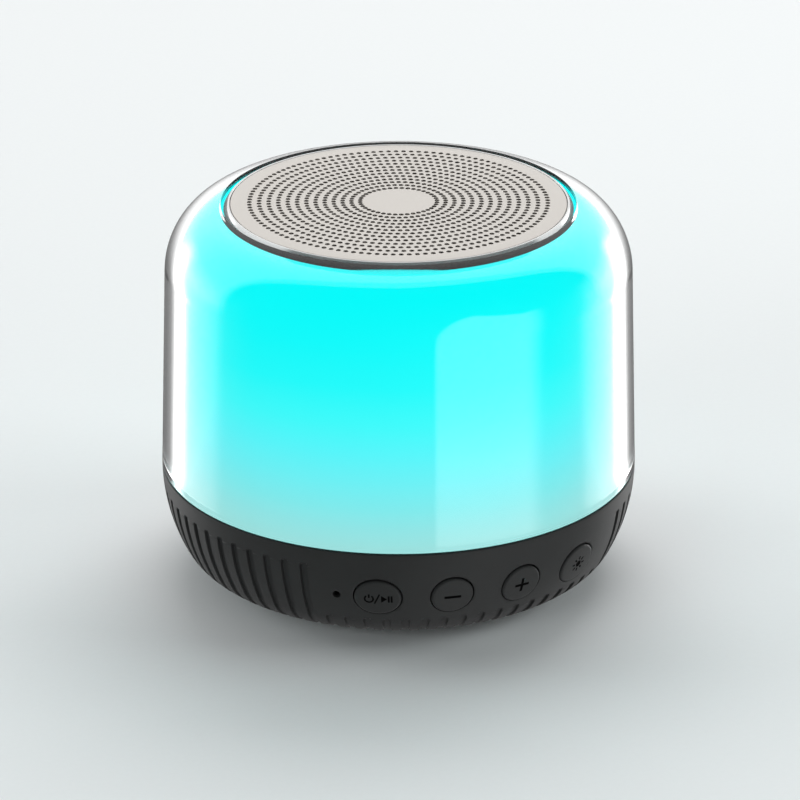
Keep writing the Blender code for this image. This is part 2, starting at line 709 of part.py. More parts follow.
def cut_driver_screw_holes(target, name, top, finish):
    for i, spot in enumerate(around(DRIVER_SCREWS, DRIVER_SCREW_CIRCLE, top, SCREW_FIRST)):
        ends = spot - Vector((0, 0, SCREW_HOLE_DEPTH)), spot + Vector((0, 0, OVERSHOOT))
        boolean(target, rod(f"{name}_cutter_{i + 1}", SCREW_HOLE, *ends, finish))


def make_trim_and_grille(steel, plate, cloth):
    turned("trim_ring", [
        (GRILLE_RADIUS + GAP, GRILLE_TOP),
        (RING_RADIUS, RING_EDGE_HEIGHT),
        (RING_RADIUS, CHAMBER_TOP + GAP),
        (RING_SHELF_RADIUS, CHAMBER_TOP + GAP),
        (RING_SHELF_RADIUS, UNDER_GRILLE),
        (GRILLE_RADIUS + GAP, UNDER_GRILLE),
    ], steel, SHELL_ROUND)
    turned("speaker_grille", [
        (0, GRILLE_TOP),
        (GRILLE_RADIUS - GRILLE_CHAMFER, GRILLE_TOP),
        (GRILLE_RADIUS, GRILLE_TOP - GRILLE_CHAMFER),
        (GRILLE_RADIUS, GRILLE_TOP - GRILLE_THICKNESS),
        (0, GRILLE_TOP - GRILLE_THICKNESS),
    ], plate, SHELL_ROUND)
    turned("grille_cloth", [
        (0, UNDER_GRILLE),
        (CLOTH_RADIUS, UNDER_GRILLE),
        (CLOTH_RADIUS, UNDER_GRILLE - CLOTH_THICKNESS),
        (0, UNDER_GRILLE - CLOTH_THICKNESS),
    ], cloth, SMALL_ROUND)


# ---------------------------------------------------------------- driver


def make_basket(frame):
    """The pressed frame: a flange, a sloping wall with windows, and a seat for the magnet."""
    wall = 0.8 * MM
    bend = 3 * MM
    seat_top = BASKET_SEAT + BASKET_SKIN
    basket = turned("driver_basket", [
        (FLANGE_RADIUS, FLANGE_TOP),
        (FLANGE_RADIUS, FLANGE_BOTTOM),
        (BASKET_MOUTH + 1.5 * wall, FLANGE_BOTTOM),
        (BASKET_MOUTH + wall / 2, FLANGE_BOTTOM - bend),
        (BASKET_FLOOR, seat_top),
        (BASKET_FLOOR, BASKET_SEAT),
        (BASKET_BORE, BASKET_SEAT),
        (BASKET_BORE, seat_top),
        (BASKET_FLOOR - wall, seat_top),
        (BASKET_MOUTH - wall / 2, FLANGE_BOTTOM - bend + wall / 2),
        (BASKET_MOUTH, FLANGE_TOP),
    ], frame, SMALL_ROUND)
    out, rise = WINDOW_PLACE
    for i in range(BASKET_WINDOWS):
        degrees = 360 * i / BASKET_WINDOWS
        place = axis_empty(f"basket_window_{i + 1}", degrees, BASKET_SEAT + rise)
        boolean(basket, block(f"window_cutter_{i + 1}", WINDOW_SIZE, (0, -out, 0), frame, parent=place))
    cut_driver_screw_holes(basket, "flange", FLANGE_TOP, frame)


def make_magnet(steel, ferrite):
    """The ring magnet between its top plate and its back plate, whose pole stands in the coil."""
    plate_top = BASKET_SEAT - GAP
    plate_bottom = plate_top - STEEL_THICKNESS
    turned("magnet_top_plate", [
        (STEEL_RADIUS, plate_top),
        (STEEL_RADIUS, plate_bottom),
        (COIL_OUTER + GAP, plate_bottom),
        (COIL_OUTER + GAP, plate_top),
    ], steel, SMALL_ROUND)
    magnet_top = plate_bottom - GAP
    magnet_bottom = magnet_top - MAGNET_THICKNESS
    turned("driver_magnet", [
        (MAGNET_RADIUS, magnet_top),
        (MAGNET_RADIUS, magnet_bottom),
        (MAGNET_BORE, magnet_bottom),
        (MAGNET_BORE, magnet_top),
    ], ferrite, SMALL_ROUND)
    back_top = magnet_bottom - GAP
    turned("magnet_back_plate", [
        (0, plate_top),
        (COIL_INNER - GAP, plate_top),
        (COIL_INNER - GAP, back_top),
        (STEEL_RADIUS, back_top),
        (STEEL_RADIUS, back_top - STEEL_THICKNESS),
        (0, back_top - STEEL_THICKNESS),
    ], steel, SMALL_ROUND)


def make_gasket(foam):
    turned("driver_gasket", [
        (GASKET_OUTER, CHAMBER_TOP),
        (GASKET_OUTER, GASKET_BOTTOM),
        (GASKET_INNER, GASKET_BOTTOM),
        (GASKET_INNER, CHAMBER_TOP),
    ], foam, SMALL_ROUND)


def make_diaphragm(paper, copper):
    """The pieces that move along Z: voice coil, cone and dust cap."""
    place = axis_empty("diaphragm_axis")
    turned("voice_coil", [
        (COIL_INNER + COIL_FORMER, COIL_TOP),
        (COIL_INNER + COIL_FORMER, WINDING_TOP),
        (COIL_OUTER, WINDING_TOP),
        (COIL_OUTER, COIL_BOTTOM),
        (COIL_INNER, COIL_BOTTOM),
        (COIL_INNER, COIL_TOP),
    ], copper, SMALL_ROUND, place)
    low = COIL_TOP - 2 * PAPER
    cone = []
    for step in range(4):
        share = step / 3
        radius = COIL_OUTER + (CONE_RADIUS - COIL_OUTER) * share
        cone.append((radius, low + (CONE_TOP - low) * share**CONE_FLARE))
    top_side = [(radius, height + PAPER) for radius, height in cone[::-1]]
    turned("driver_cone", top_side + cone, paper, SMALL_ROUND, place)
    dome, under = [], []
    for step in range(4):
        angle = pi / 2 * step / 3
        dome.append((CAP_RADIUS * sin(angle), CAP_EDGE + CAP_RISE * cos(angle)))
        inner = (CAP_RADIUS - PAPER) * sin(angle)
        under.append((inner, CAP_EDGE + max(0, CAP_RISE * cos(angle) - PAPER)))
    turned("dust_cap", dome + under[::-1], paper, SMALL_ROUND, place)


def make_suspension(cloth, rubber):
    """The rubber surround and the cloth spider, which hold the cone in the basket."""
    bottom, skin = SURROUND_BOTTOM, SURROUND_SKIN
    roll = [
        (SURROUND_OUTER, bottom + skin),
        (SURROUND_OUTER, bottom),
        (ROLL_CENTRE + ROLL_RADIUS + skin / 2, bottom),
    ]
    for step in range(1, 5):
        angle = pi * step / 5
        roll.append((ROLL_CENTRE + ROLL_RADIUS * cos(angle), bottom + ROLL_RADIUS * sin(angle)))
    roll += [
        (ROLL_CENTRE - ROLL_RADIUS - skin / 2, bottom),
        (SURROUND_INNER, bottom),
        (SURROUND_INNER, bottom + skin),
        (ROLL_CENTRE - ROLL_RADIUS - skin, bottom + skin),
    ]
    outside = ROLL_RADIUS + skin
    for step in range(4, 0, -1):
        angle = pi * step / 5
        roll.append((ROLL_CENTRE + outside * cos(angle), bottom + skin / 2 + outside * sin(angle)))
    roll.append((ROLL_CENTRE + ROLL_RADIUS + skin, bottom + skin))
    turned("driver_surround", roll, rubber, SMALL_ROUND)
    web = []
    for step in range(5):
        radius = SPIDER_INNER + (SPIDER_OUTER - SPIDER_INNER) * step / 4
        web.append((radius, SPIDER_HEIGHT + (SPIDER_WAVE if step % 2 else -SPIDER_WAVE)))
    top_side = [(radius, height + SPIDER_SKIN) for radius, height in web[::-1]]
    turned("driver_spider", top_side + web, cloth, SMALL_ROUND)


# ---------------------------------------------------------------- assembly


def main():
    clear_scene()
    dark = material("dark_housing", (0.024, 0.025, 0.025), 0.55)
    rubber = material("black_rubber", (0.018, 0.018, 0.018), 0.8)
    black = material("black_plastic", (0.018, 0.018, 0.018), 0.5)
    frame = material("painted_frame", (0.03, 0.03, 0.03), 0.45)
    foam = material("white_foam", (0.75, 0.75, 0.72), 0.9)
    seal = material("sealing_foam", (0.02, 0.02, 0.02), 0.95)
    clear = material("clear_shell", (0.85, 0.97, 0.98), 0.05, alpha=0.3)
    milky = material("milky_diffuser", (0.05, 0.9, 0.95), 0.45, glow=1.0)
    steel = material("polished_ring", (0.62, 0.62, 0.62), 0.15, 1.0)
    plate = material("grille_metal", (0.66, 0.63, 0.58), 0.35, 1.0)
    white = material("white_plastic", (0.82, 0.82, 0.80), 0.5)
    board = material("circuit_board", (0.02, 0.12, 0.05), 0.5)
    metal = material("plated_steel", (0.66, 0.66, 0.64), 0.3, 1.0)
    ferrite = material("ferrite", (0.05, 0.05, 0.055), 0.7)
    copper = material("copper_winding", (0.60, 0.24, 0.10), 0.35, 1.0)
    paper = material("cone_paper", (0.035, 0.035, 0.035), 0.85)
    cloth = material("woven_cloth", (0.03, 0.03, 0.03), 0.95)
    spider = material("spider_cloth", (0.55, 0.42, 0.20), 0.9)
    lamp = material("led_package", (0.85, 0.85, 0.72), 0.4)
    cell = material("battery_wrap", (0.10, 0.22, 0.45), 0.4)
    red = material("red_lead", (0.50, 0.02, 0.02), 0.5)

    make_base_housing(dark)
    make_bottom_cover(dark)
    make_foot(rubber)
    seat = COVER_SCREW_SEAT - GAP
    make_screws("cover_screw", COVER_SCREWS, COVER_SCREW_CIRCLE, seat, COVER_SCREW_SHANK, True, metal)
    for button in BUTTONS:
        make_button(*button, dark, metal, black)
    make_microphone(metal, rubber)
    make_boards(board, metal)
    make_battery(cell, foam)
    make_charging_port(metal, black)
    make_lead("speaker_lead", SPEAKER_LEAD, SPEAKER_LEAD_ROUTE, red)
    make_lead("battery_lead", BATTERY_LEAD, BATTERY_LEAD_ROUTE, black)
    make_lights(board, lamp)
    make_mounting_plate(white)
    make_body(clear, milky, white)
    make_trim_and_grille(steel, plate, cloth)
    make_basket(frame)
    make_magnet(metal, ferrite)
    make_gasket(seal)
    make_diaphragm(paper, copper)
    make_suspension(spider, rubber)
    seat = FLANGE_TOP + GAP
    make_screws("driver_screw", DRIVER_SCREWS, DRIVER_SCREW_CIRCLE, seat, DRIVER_SCREW_SHANK, False, metal)


main()
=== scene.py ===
"""Looks of the round portable speaker: fine surfaces, materials, studio and camera."""

from math import acos, asin, atan, atan2, cos, hypot, pi, radians, sin, sqrt, tan

import bmesh
import bpy
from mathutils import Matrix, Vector
from mathutils.geometry import delaunay_2d_cdt
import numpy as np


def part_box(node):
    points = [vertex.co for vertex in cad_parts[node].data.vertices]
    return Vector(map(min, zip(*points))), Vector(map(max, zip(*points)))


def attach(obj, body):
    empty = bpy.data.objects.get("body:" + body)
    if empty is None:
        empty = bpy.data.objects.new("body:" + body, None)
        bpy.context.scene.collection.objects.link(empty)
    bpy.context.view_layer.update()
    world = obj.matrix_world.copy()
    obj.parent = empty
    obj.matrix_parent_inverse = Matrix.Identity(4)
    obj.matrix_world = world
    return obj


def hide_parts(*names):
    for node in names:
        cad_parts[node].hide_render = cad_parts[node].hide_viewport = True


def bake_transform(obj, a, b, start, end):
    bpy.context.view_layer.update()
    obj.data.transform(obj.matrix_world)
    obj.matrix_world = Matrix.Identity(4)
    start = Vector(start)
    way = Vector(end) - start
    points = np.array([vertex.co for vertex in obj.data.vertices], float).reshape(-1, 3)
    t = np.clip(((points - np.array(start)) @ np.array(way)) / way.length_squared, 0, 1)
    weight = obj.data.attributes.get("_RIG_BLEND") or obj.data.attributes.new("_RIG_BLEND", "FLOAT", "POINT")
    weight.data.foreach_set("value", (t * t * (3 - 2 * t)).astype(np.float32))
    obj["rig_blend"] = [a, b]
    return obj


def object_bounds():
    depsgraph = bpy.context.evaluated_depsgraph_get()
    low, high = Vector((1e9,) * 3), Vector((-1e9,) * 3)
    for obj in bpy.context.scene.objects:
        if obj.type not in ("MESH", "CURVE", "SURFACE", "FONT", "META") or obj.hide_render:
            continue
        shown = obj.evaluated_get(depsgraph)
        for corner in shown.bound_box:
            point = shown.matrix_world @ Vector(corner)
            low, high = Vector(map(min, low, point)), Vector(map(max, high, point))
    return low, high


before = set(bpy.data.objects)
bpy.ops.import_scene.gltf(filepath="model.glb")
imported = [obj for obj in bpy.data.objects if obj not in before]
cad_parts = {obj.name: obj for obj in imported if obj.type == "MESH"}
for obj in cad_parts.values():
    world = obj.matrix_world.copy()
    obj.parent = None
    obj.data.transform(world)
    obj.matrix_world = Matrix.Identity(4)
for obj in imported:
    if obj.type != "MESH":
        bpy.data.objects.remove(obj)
cad_low, cad_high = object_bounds()

MM = 0.001
BODY = "speaker"

# Camera of the main view
CAMERA_AZIMUTH = -22.0
CAMERA_ELEVATION = 23.0
CAMERA_DISTANCE = 0.78356
CAMERA_LENS = 181.88
CAMERA_SHIFT = 0.00176
AIM_SHARE = 0.4507  # of the object's height

# Floor
FLOOR_RADIUS = 5.0
FLOOR_COLOUR = (0.79, 0.802, 0.806)
FLOOR_SPREAD = 1.01  # its lighter grains, as a share of its colour

# Lamps: distance towards the camera, to its right and upwards, size, power and colour
WHITE = (1.0, 1.0, 1.0)
COOL = (0.93, 1.0, 1.0)
LAMP_AIM = (0, 0, 0.03)
LAMPS = {
    "key": (-0.6, 0.1, 0.75, (0.8, 0.6), 4.3, WHITE),
    "right": (0.0, 0.8, 0.35, (0.5, 0.4), 3.3, COOL),
    "left": (-0.2, -0.85, 0.35, (0.5, 0.4), 2.2, COOL),
    "fill": (0.7, -0.6, 0.35, (0.6, 0.5), 2.9, COOL),
}

# Surroundings that mirrored and refracted rays see, as strengths
TENT_FRONT = 0.0
TENT_BACK = 0.95
SIDE_PANEL = 5.0
RIGHT_PANEL_SHARE = 1.2  # of the left one's
UNDER_GLOW = 0.25
WINDOW_PANEL = 1.1

# Slow changes of shade in the plastics, per metre
PATCH_SCALE = 90.0

# Smoothness of the fine surfaces
TURN = 256  # sides of a large turned piece
SCREW_TURN = 32

# Base: its outline repeats the frame's, as arcs tangent to each other
GAP = 0.3 * MM
FLANK_BEND = 33 * MM
HEEL_BEND = 9 * MM
HEEL_HEIGHT = 6.8 * MM
RIM_ROUND = 0.25 * MM
CAVITY_RADIUS = 41.5 * MM
CAVITY_CORNER = (1.5 * MM, 0.8 * MM)
LEDGE_RADIUS = 27.5 * MM
LEDGE_THICKNESS = 2.5 * MM

# Grip grooves
GROOVES = 73
GROOVE_DEPTH = 0.56 * MM
GROOVE_WIDTH = 1.6 * MM
GROOVE_WALL = 0.09 * MM
GROOVE_TOP = 18.8 * MM
GROOVE_END = 1.4 * MM  # height of the finer rows at a groove's top
GROOVE_TURN = -0.4  # degrees
SHORT_GROOVE_TOP = 7.3 * MM
GROOVE_FOOT = 2.0 * MM
PANEL_HALF_PITCHES = 9
PORT_HALF_PITCHES = 2

# Bottom cover, its screws and the foot ring
FOOT_INNER = 26.0 * MM
HEAD_WELL = 2.1 * MM
SCREW_HOLE = 1.25 * MM
SCREW_SEAT = 3.4 * MM
COVER_SCREWS = tuple(f"cover_screw_{i}" for i in range(1, 5))
OPENING_TOP = 10 * MM  # how high the base's screw holes are cut

# Openings in the base's side: how far a cutter reaches in and out, and how wide its soft edge is
CUT_IN = 8 * MM
CUT_OUT = 0.8 * MM
KEY_OPENING_EDGE = 0.12 * MM
MIC_EDGE = 0.04 * MM
PORT_EDGE = 0.25 * MM

# Clear shell and diffuser
SHOULDER_CENTRE = (32.2 * MM, 61.2 * MM)
SHOULDER_HALF_WIDTH = 12.5 * MM
SHOULDER_HALF_HEIGHT = 13.6 * MM
SHELL_WALL = 2.4 * MM
SHELL_FOOT_ROUND = 0.7 * MM
DIFFUSER_INSET = 2.7 * MM
DIFFUSER_WALL = 1.6 * MM
LIP_TOP = 73.8 * MM
LIP_GAPS = (0.1 * MM, 0.08 * MM)  # to the ring and to the shell
JOINT_LINE = 0.06 * MM

# Ring and grille
RING_GAP = 0.12 * MM
RING_LIP = 0.35 * MM
RING_DROP = 1.0 * MM
RING_TAPER = 0.45 * MM
RING_ROUND = 0.12 * MM
RING_SHELF = 30.2 * MM
HOLE_RINGS = 13
FIRST_RING = 7.31 * MM
RING_PITCH = 1.65 * MM
RING_GROWTH = 0.0085 * MM
FIRST_HOLES = 40
LAST_HOLES = 120
HOLE_RADIUS = 0.485 * MM
HOLE_EDGE = 0.05 * MM
HOLE_SIDES = 16
PLATE_EDGE = 0.2 * MM
PLATE_BEVEL = 0.1 * MM

# Buttons: degrees from the front, opening width and height
KEYS = {
    "power": (-27.0, 9.3 * MM, 8.2 * MM),
    "volume_down": (-9.0, 8.4 * MM, 8.2 * MM),
    "volume_up": (9.0, 8.4 * MM, 8.2 * MM),
    "light": (27.0, 9.3 * MM, 8.2 * MM),
}
KEY_SIDES = 96
KEY_ROWS = (0.15, 0.3, 0.45, 0.6, 0.75, 0.87)  # shares of the cap's half width
KEY_GAP = 0.2 * MM
KEY_SAG = 0.13 * MM  # how much lower than its opening a cap sits
KEY_PROUD = 0.3 * MM
KEY_EDGE = 0.5 * MM
FLANGE_IN = 39.8 * MM
FLANGE_OUT = 40.8 * MM
FLANGE_LIP = 0.5 * MM
MIC_ANGLE = -37.0
MIC_HOLE = 0.78 * MM

# Button symbols, in millimetres
SYMBOL_DEPTH = 0.1 * MM
SYMBOL_DROP = -0.3
SYMBOL_LINE = 0.56
THIN_LINE = 0.32
MINUS_ARM = 1.6
PLUS_ARM = 1.5
SUN_RADIUS = 0.68
SUN_RAYS = 8
RAY_REACH = (0.95, 1.65)
RAY_WIDTH = 0.38
POWER_MARK = (-1.62, 0.80)  # place across, and radius

# Driver: where its bending parts are glued on and how far out they bend
CONE_SLOPE = 0.537
COIL_TUBE_RADIUS = 7.6 * MM
SPIDER_EDGE = 8.3 * MM
GLUE = 0.03 * MM
SURROUND_BEND = (20.6 * MM, 24.2 * MM)
SPIDER_BEND = (8.6 * MM, 16.4 * MM)


# ---------------------------------------------------------------- materials


def new_material(name):
    made = bpy.data.materials.new(name)
    made.use_nodes = True
    tree = made.node_tree
    shader = tree.nodes["Principled BSDF"]
    return made, tree, shader


def add(tree, kind, **inputs):
    """A node with values on its own sockets; keys use _ for a space."""
    node = tree.nodes.new(kind)
    for key, value in inputs.items():
        node.inputs[key.replace("_", " ")].default_value = value
    return node


def place(tree):
    """The piece's own coordinates, in metres."""
    return tree.nodes.new("ShaderNodeTexCoord").outputs["Object"]


def noise(tree, scale, detail=3.0, roughness=0.5, vector=None):
    node = add(tree, "ShaderNodeTexNoise", Scale=scale, Detail=detail, Roughness=roughness)
    tree.links.new(vector or place(tree), node.inputs["Vector"])
    return node.outputs["Fac"]


def mapped(tree, value, low, high, out_low, out_high, smooth=False):
    node = tree.nodes.new("ShaderNodeMapRange")
    if smooth:
        node.interpolation_type = "SMOOTHSTEP"
    for key, number in zip(("From Min", "From Max", "To Min", "To Max"), (low, high, out_low, out_high)):
        node.inputs[key].default_value = number
    tree.links.new(value, node.inputs["Value"])
    return node.outputs["Result"]


def ramp(tree, value, stops):
    node = tree.nodes.new("ShaderNodeValToRGB")
    while len(node.color_ramp.elements) < len(stops):
        node.color_ramp.elements.new(0.5)
    for element, (position, colour) in zip(node.color_ramp.elements, stops):
        element.position = position
        element.color = (*colour, 1.0)
    tree.links.new(value, node.inputs["Fac"])
    return node.outputs["Color"]


def bump(tree, shader, height, strength, distance):
    node = add(tree, "ShaderNodeBump", Strength=strength, Distance=distance)
    tree.links.new(height, node.inputs["Height"])
    tree.links.new(node.outputs["Normal"], shader.inputs["Normal"])


def grained(name, colour, spread, roughness, grain, depth, metallic=0.0, gloss=0.5):
    """Plastic, rubber, paper or cast metal: a fine grain, and slow changes of shade and gloss."""
    made, tree, shader = new_material(name)
    shader.inputs["Metallic"].default_value = metallic
    shader.inputs["Specular IOR Level"].default_value = gloss
    slow = noise(tree, PATCH_SCALE, 4.0)
    dark = tuple(c * (1 - spread) for c in colour)
    light = tuple(min(1.0, c * (1 + spread)) for c in colour)
    tree.links.new(ramp(tree, slow, ((0.3, dark), (0.7, light))), shader.inputs["Base Color"])
    fine = noise(tree, 1 / grain, 2.0)
    rough = mapped(tree, fine, 0.3, 0.7, roughness - 0.05, roughness + 0.05)
    tree.links.new(rough, shader.inputs["Roughness"])
    bump(tree, shader, fine, 0.6, depth)
    return made


def woven(name, colour, pitch, depth, roughness=0.9):
    """Plain weave: threads across and along as two crossed waves."""
    made, tree, shader = new_material(name)
    shader.inputs["Roughness"].default_value = roughness
    waves = []
    for direction in ("X", "Y"):
        wave = add(tree, "ShaderNodeTexWave", Scale=0.5 / pitch / pi, Distortion=0.3, Detail=1.0)
        wave.bands_direction = direction
        tree.links.new(place(tree), wave.inputs["Vector"])
        waves.append(wave.outputs["Fac"])
    both = tree.nodes.new("ShaderNodeMath")
    both.operation = "MULTIPLY"
    for wave, socket in zip(waves, both.inputs):
        tree.links.new(wave, socket)
    dark = tuple(c * 0.35 for c in colour)
    tree.links.new(ramp(tree, both.outputs[0], ((0.0, dark), (0.8, colour))), shader.inputs["Base Color"])
    bump(tree, shader, both.outputs[0], 0.8, depth)
    return made


def turned_metal(name, colour, roughness, pitch, depth, metallic=1.0):
    """Metal with the fine rings that a lathe or a circular brush leaves."""
    made, tree, shader = new_material(name)
    shader.inputs["Metallic"].default_value = metallic
    spread = tree.nodes.new("ShaderNodeSeparateXYZ")
    tree.links.new(place(tree), spread.inputs["Vector"])
    flat = tree.nodes.new("ShaderNodeCombineXYZ")
    tree.links.new(spread.outputs["X"], flat.inputs["X"])
    tree.links.new(spread.outputs["Y"], flat.inputs["Y"])
    out = tree.nodes.new("ShaderNodeVectorMath")
    out.operation = "LENGTH"
    tree.links.new(flat.outputs["Vector"], out.inputs[0])
    ring = tree.nodes.new("ShaderNodeCombineXYZ")
    tree.links.new(out.outputs["Value"], ring.inputs["X"])
    tree.links.new(spread.outputs["Z"], ring.inputs["Z"])
    lines = noise(tree, 1 / pitch, 3.0, 0.6, ring.outputs["Vector"])
    rough = mapped(tree, lines, 0.3, 0.7, roughness * 0.8, roughness * 1.25)
    tree.links.new(rough, shader.inputs["Roughness"])
    dark = tuple(c * 0.94 for c in colour)
    tree.links.new(ramp(tree, lines, ((0.3, dark), (0.7, colour))), shader.inputs["Base Color"])
    bump(tree, shader, lines, 0.3, depth)
    return made


def clear_plastic():
    made, tree, shader = new_material("clear_shell")
    shader.inputs["Base Color"].default_value = (0.985, 0.998, 1.0, 1.0)
    shader.inputs["Transmission Weight"].default_value = 1.0
    shader.inputs["IOR"].default_value = 1.49
    smear = noise(tree, 60.0, 5.0, 0.6)
    tree.links.new(mapped(tree, smear, 0.45, 0.8, 0.0, 0.025), shader.inputs["Roughness"])
    return made


def glowing_plastic(low, high):
    """Milky diffuser, a deep cyan that pales towards the lamps at its foot."""
    made, tree, shader = new_material("milky_diffuser")
    spread = tree.nodes.new("ShaderNodeSeparateXYZ")
    tree.links.new(place(tree), spread.inputs["Vector"])
    share = mapped(tree, spread.outputs["Z"], low, high, 0.0, 1.0)
    tree.links.new(ramp(tree, share, (
        (0.02, (0.36, 0.79, 0.77)),
        (0.10, (0.30, 0.82, 0.82)),
        (0.17, (0.235, 0.86, 0.87)),
        (0.28, (0.16, 0.915, 0.95)),
        (0.39, (0.10, 0.96, 1.0)),
        (0.50, (0.055, 1.0, 1.0)),
        (0.645, (0.018, 1.0, 1.0)),
        (0.80, (0.007, 1.0, 1.0)),
        (1.00, (0.001, 1.0, 1.0)),
    )), shader.inputs["Emission Color"])
    body = ramp(tree, share, ((0.0, (0.05, 0.16, 0.16)), (1.0, (0.0, 0.2, 0.2))))
    tree.links.new(body, shader.inputs["Base Color"])
    shader.inputs["Specular IOR Level"].default_value = 0.1
    shader.inputs["Emission Strength"].default_value = 1.0
    cloud = noise(tree, 220.0, 3.0)
    tree.links.new(mapped(tree, cloud, 0.3, 0.7, 0.30, 0.38), shader.inputs["Roughness"])
    return made


# ---------------------------------------------------------------- mesh helpers


def new_piece(name, bm, finish, body=BODY, sharp=35, replaces=()):
    bmesh.ops.remove_doubles(bm, verts=bm.verts, dist=1e-7)
    bmesh.ops.recalc_face_normals(bm, faces=bm.faces)
    mesh = bpy.data.meshes.new(name)
    bm.to_mesh(mesh)
    bm.free()
    mesh.shade_smooth()
    mesh.set_sharp_from_angle(angle=radians(sharp))
    mesh.materials.append(finish)
    thing = bpy.data.objects.new(name, mesh)
    bpy.context.scene.collection.objects.link(thing)
    if body:
        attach(thing, body)
    if replaces:
        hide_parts(*replaces)
    return thing


def skin(bm, loops):
    """Faces between equal loops of vertices, each to the next."""
    for low, high in zip(loops, loops[1:]):
        for i in range(len(low)):
            bm.faces.new((low[i - 1], low[i], high[i], high[i - 1]))


def joined_rings(rings, closed):
    """Faces between equal rings of points; closed joins the last ring to the first."""
    bm = bmesh.new()
    loops = [[bm.verts.new(point) for point in ring] for ring in rings]
    skin(bm, loops + loops[:1] if closed else loops)
    return bm


def circle(x, y, radius, sides):
    turns = [2 * pi * k / sides for k in range(sides)]
    return [(x + radius * cos(t), y + radius * sin(t)) for t in turns]


def lathe(outline, sides=TURN):
    """The closed (radius, height) outline turned round Z; it may have points on the axis."""
    bm = bmesh.new()
    columns = []
    for i in range(sides):
        angle = 2 * pi * i / sides
        turn = (sin(angle), -cos(angle))
        columns.append([(r * turn[0], r * turn[1], z) if r > 1e-9 else None for r, z in outline])
    axis = {k: bm.verts.new((0, 0, z)) for k, (r, z) in enumerate(outline) if r <= 1e-9}
    verts = [[axis[k] if p is None else bm.verts.new(p) for k, p in enumerate(c)] for c in columns]
    count = len(outline)
    for i in range(sides):
        a, b = verts[i - 1], verts[i]
        for k in range(count):
            n = (k + 1) % count
            ring = []
            for corner in (a[k], b[k], b[n], a[n]):
                if corner not in ring:
                    ring.append(corner)
            if len(ring) > 2:
                bm.faces.new(ring)
    return bm


def filleted(corners, steps=5):
    """The closed outline of (radius, height, fillet) corners, with each corner rounded."""
    points = []
    count = len(corners)
    for i, (r, z, fillet) in enumerate(corners):
        here = Vector((r, z))
        before = (Vector(corners[i - 1][:2]) - here)
        after = (Vector(corners[(i + 1) % count][:2]) - here)
        if fillet <= 0 or before.length < 1e-9 or after.length < 1e-9:
            points.append((r, z))
            continue
        before.normalize()
        after.normalize()
        half = before.angle(after) / 2
        reach = fillet / tan(half)
        centre = here + (before + after).normalized() * (fillet / sin(half))
        start = here + before * reach - centre
        end = here + after * reach - centre
        first = atan2(start.y, start.x)
        sweep = atan2(end.y, end.x) - first
        sweep = (sweep + pi) % (2 * pi) - pi
        for step in range(steps + 1):
            angle = first + sweep * step / steps
            points.append((centre.x + fillet * cos(angle), centre.y + fillet * sin(angle)))
    return points


def spaced(low, high, count):
    return [low + (high - low) * i / count for i in range(count + 1)]


# ---------------------------------------------------------------- shared outlines

base_low, base_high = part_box("base_housing")
JOINT_RADIUS = base_high.x
JOINT_HEIGHT = base_high.z
mic_low, mic_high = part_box("microphone")
KEY_HEIGHT = (mic_low.z + mic_high.z) / 2


def base_radius(height):
    drop = JOINT_HEIGHT - height
    if height >= HEEL_HEIGHT:
        return JOINT_RADIUS - (FLANK_BEND - sqrt(FLANK_BEND**2 - drop**2))
    lean = asin((JOINT_HEIGHT - HEEL_HEIGHT) / FLANK_BEND)
    centre_radius = base_radius(HEEL_HEIGHT) - HEEL_BEND * cos(lean)
    centre_height = HEEL_HEIGHT + HEEL_BEND * sin(lean)
    return centre_radius + sqrt(max(0.0, HEEL_BEND**2 - (centre_height - height) ** 2))


def body_curve(inset, bottom, mouth, steps):
    """Wall and shoulder of the clear body, moved in by inset, from its bottom to its mouth."""
    width = SHOULDER_HALF_WIDTH - inset
    tall = SHOULDER_HALF_HEIGHT - inset
    middle, height = SHOULDER_CENTRE
    lean = atan((JOINT_RADIUS - middle - SHOULDER_HALF_WIDTH) / (height - JOINT_HEIGHT))
    first = atan(tall / width * tan(lean))
    last = acos((mouth - middle) / width)
    foot = JOINT_RADIUS - inset
    start = (middle + width * cos(first), height + tall * sin(first))
    points = []
    for z in spaced(bottom, start[1], 12)[:-1]:
        points.append((foot - (z - JOINT_HEIGHT) * (foot - start[0]) / (start[1] - JOINT_HEIGHT), z))
    for angle in spaced(first, last, steps):
        points.append((middle + width * cos(angle), height + tall * sin(angle)))
    return points


# ---------------------------------------------------------------- body, ring and grille


def mouth_of(node):
    """The smallest radius that a turned node of the frame has."""
    return min(abs(v.co.x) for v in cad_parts[node].data.vertices if abs(v.co.y) < 1e-5)


def make_shell(finish):
    low = JOINT_HEIGHT + JOINT_LINE
    mouth = mouth_of("outer_shell")
    outer = body_curve(0, low, mouth, 40)
    inner = body_curve(SHELL_WALL, low, mouth, 40)
    foot = [(outer[0][0] - SHELL_FOOT_ROUND * (1 - cos(a)), low + SHELL_FOOT_ROUND * (1 - sin(a)))
            for a in spaced(pi / 2, 0, 8)]
    outline = (foot + outer[1:])[::-1] + inner
    new_piece("clear_shell_body", lathe(outline), finish,
              replaces=("outer_shell",), sharp=50)


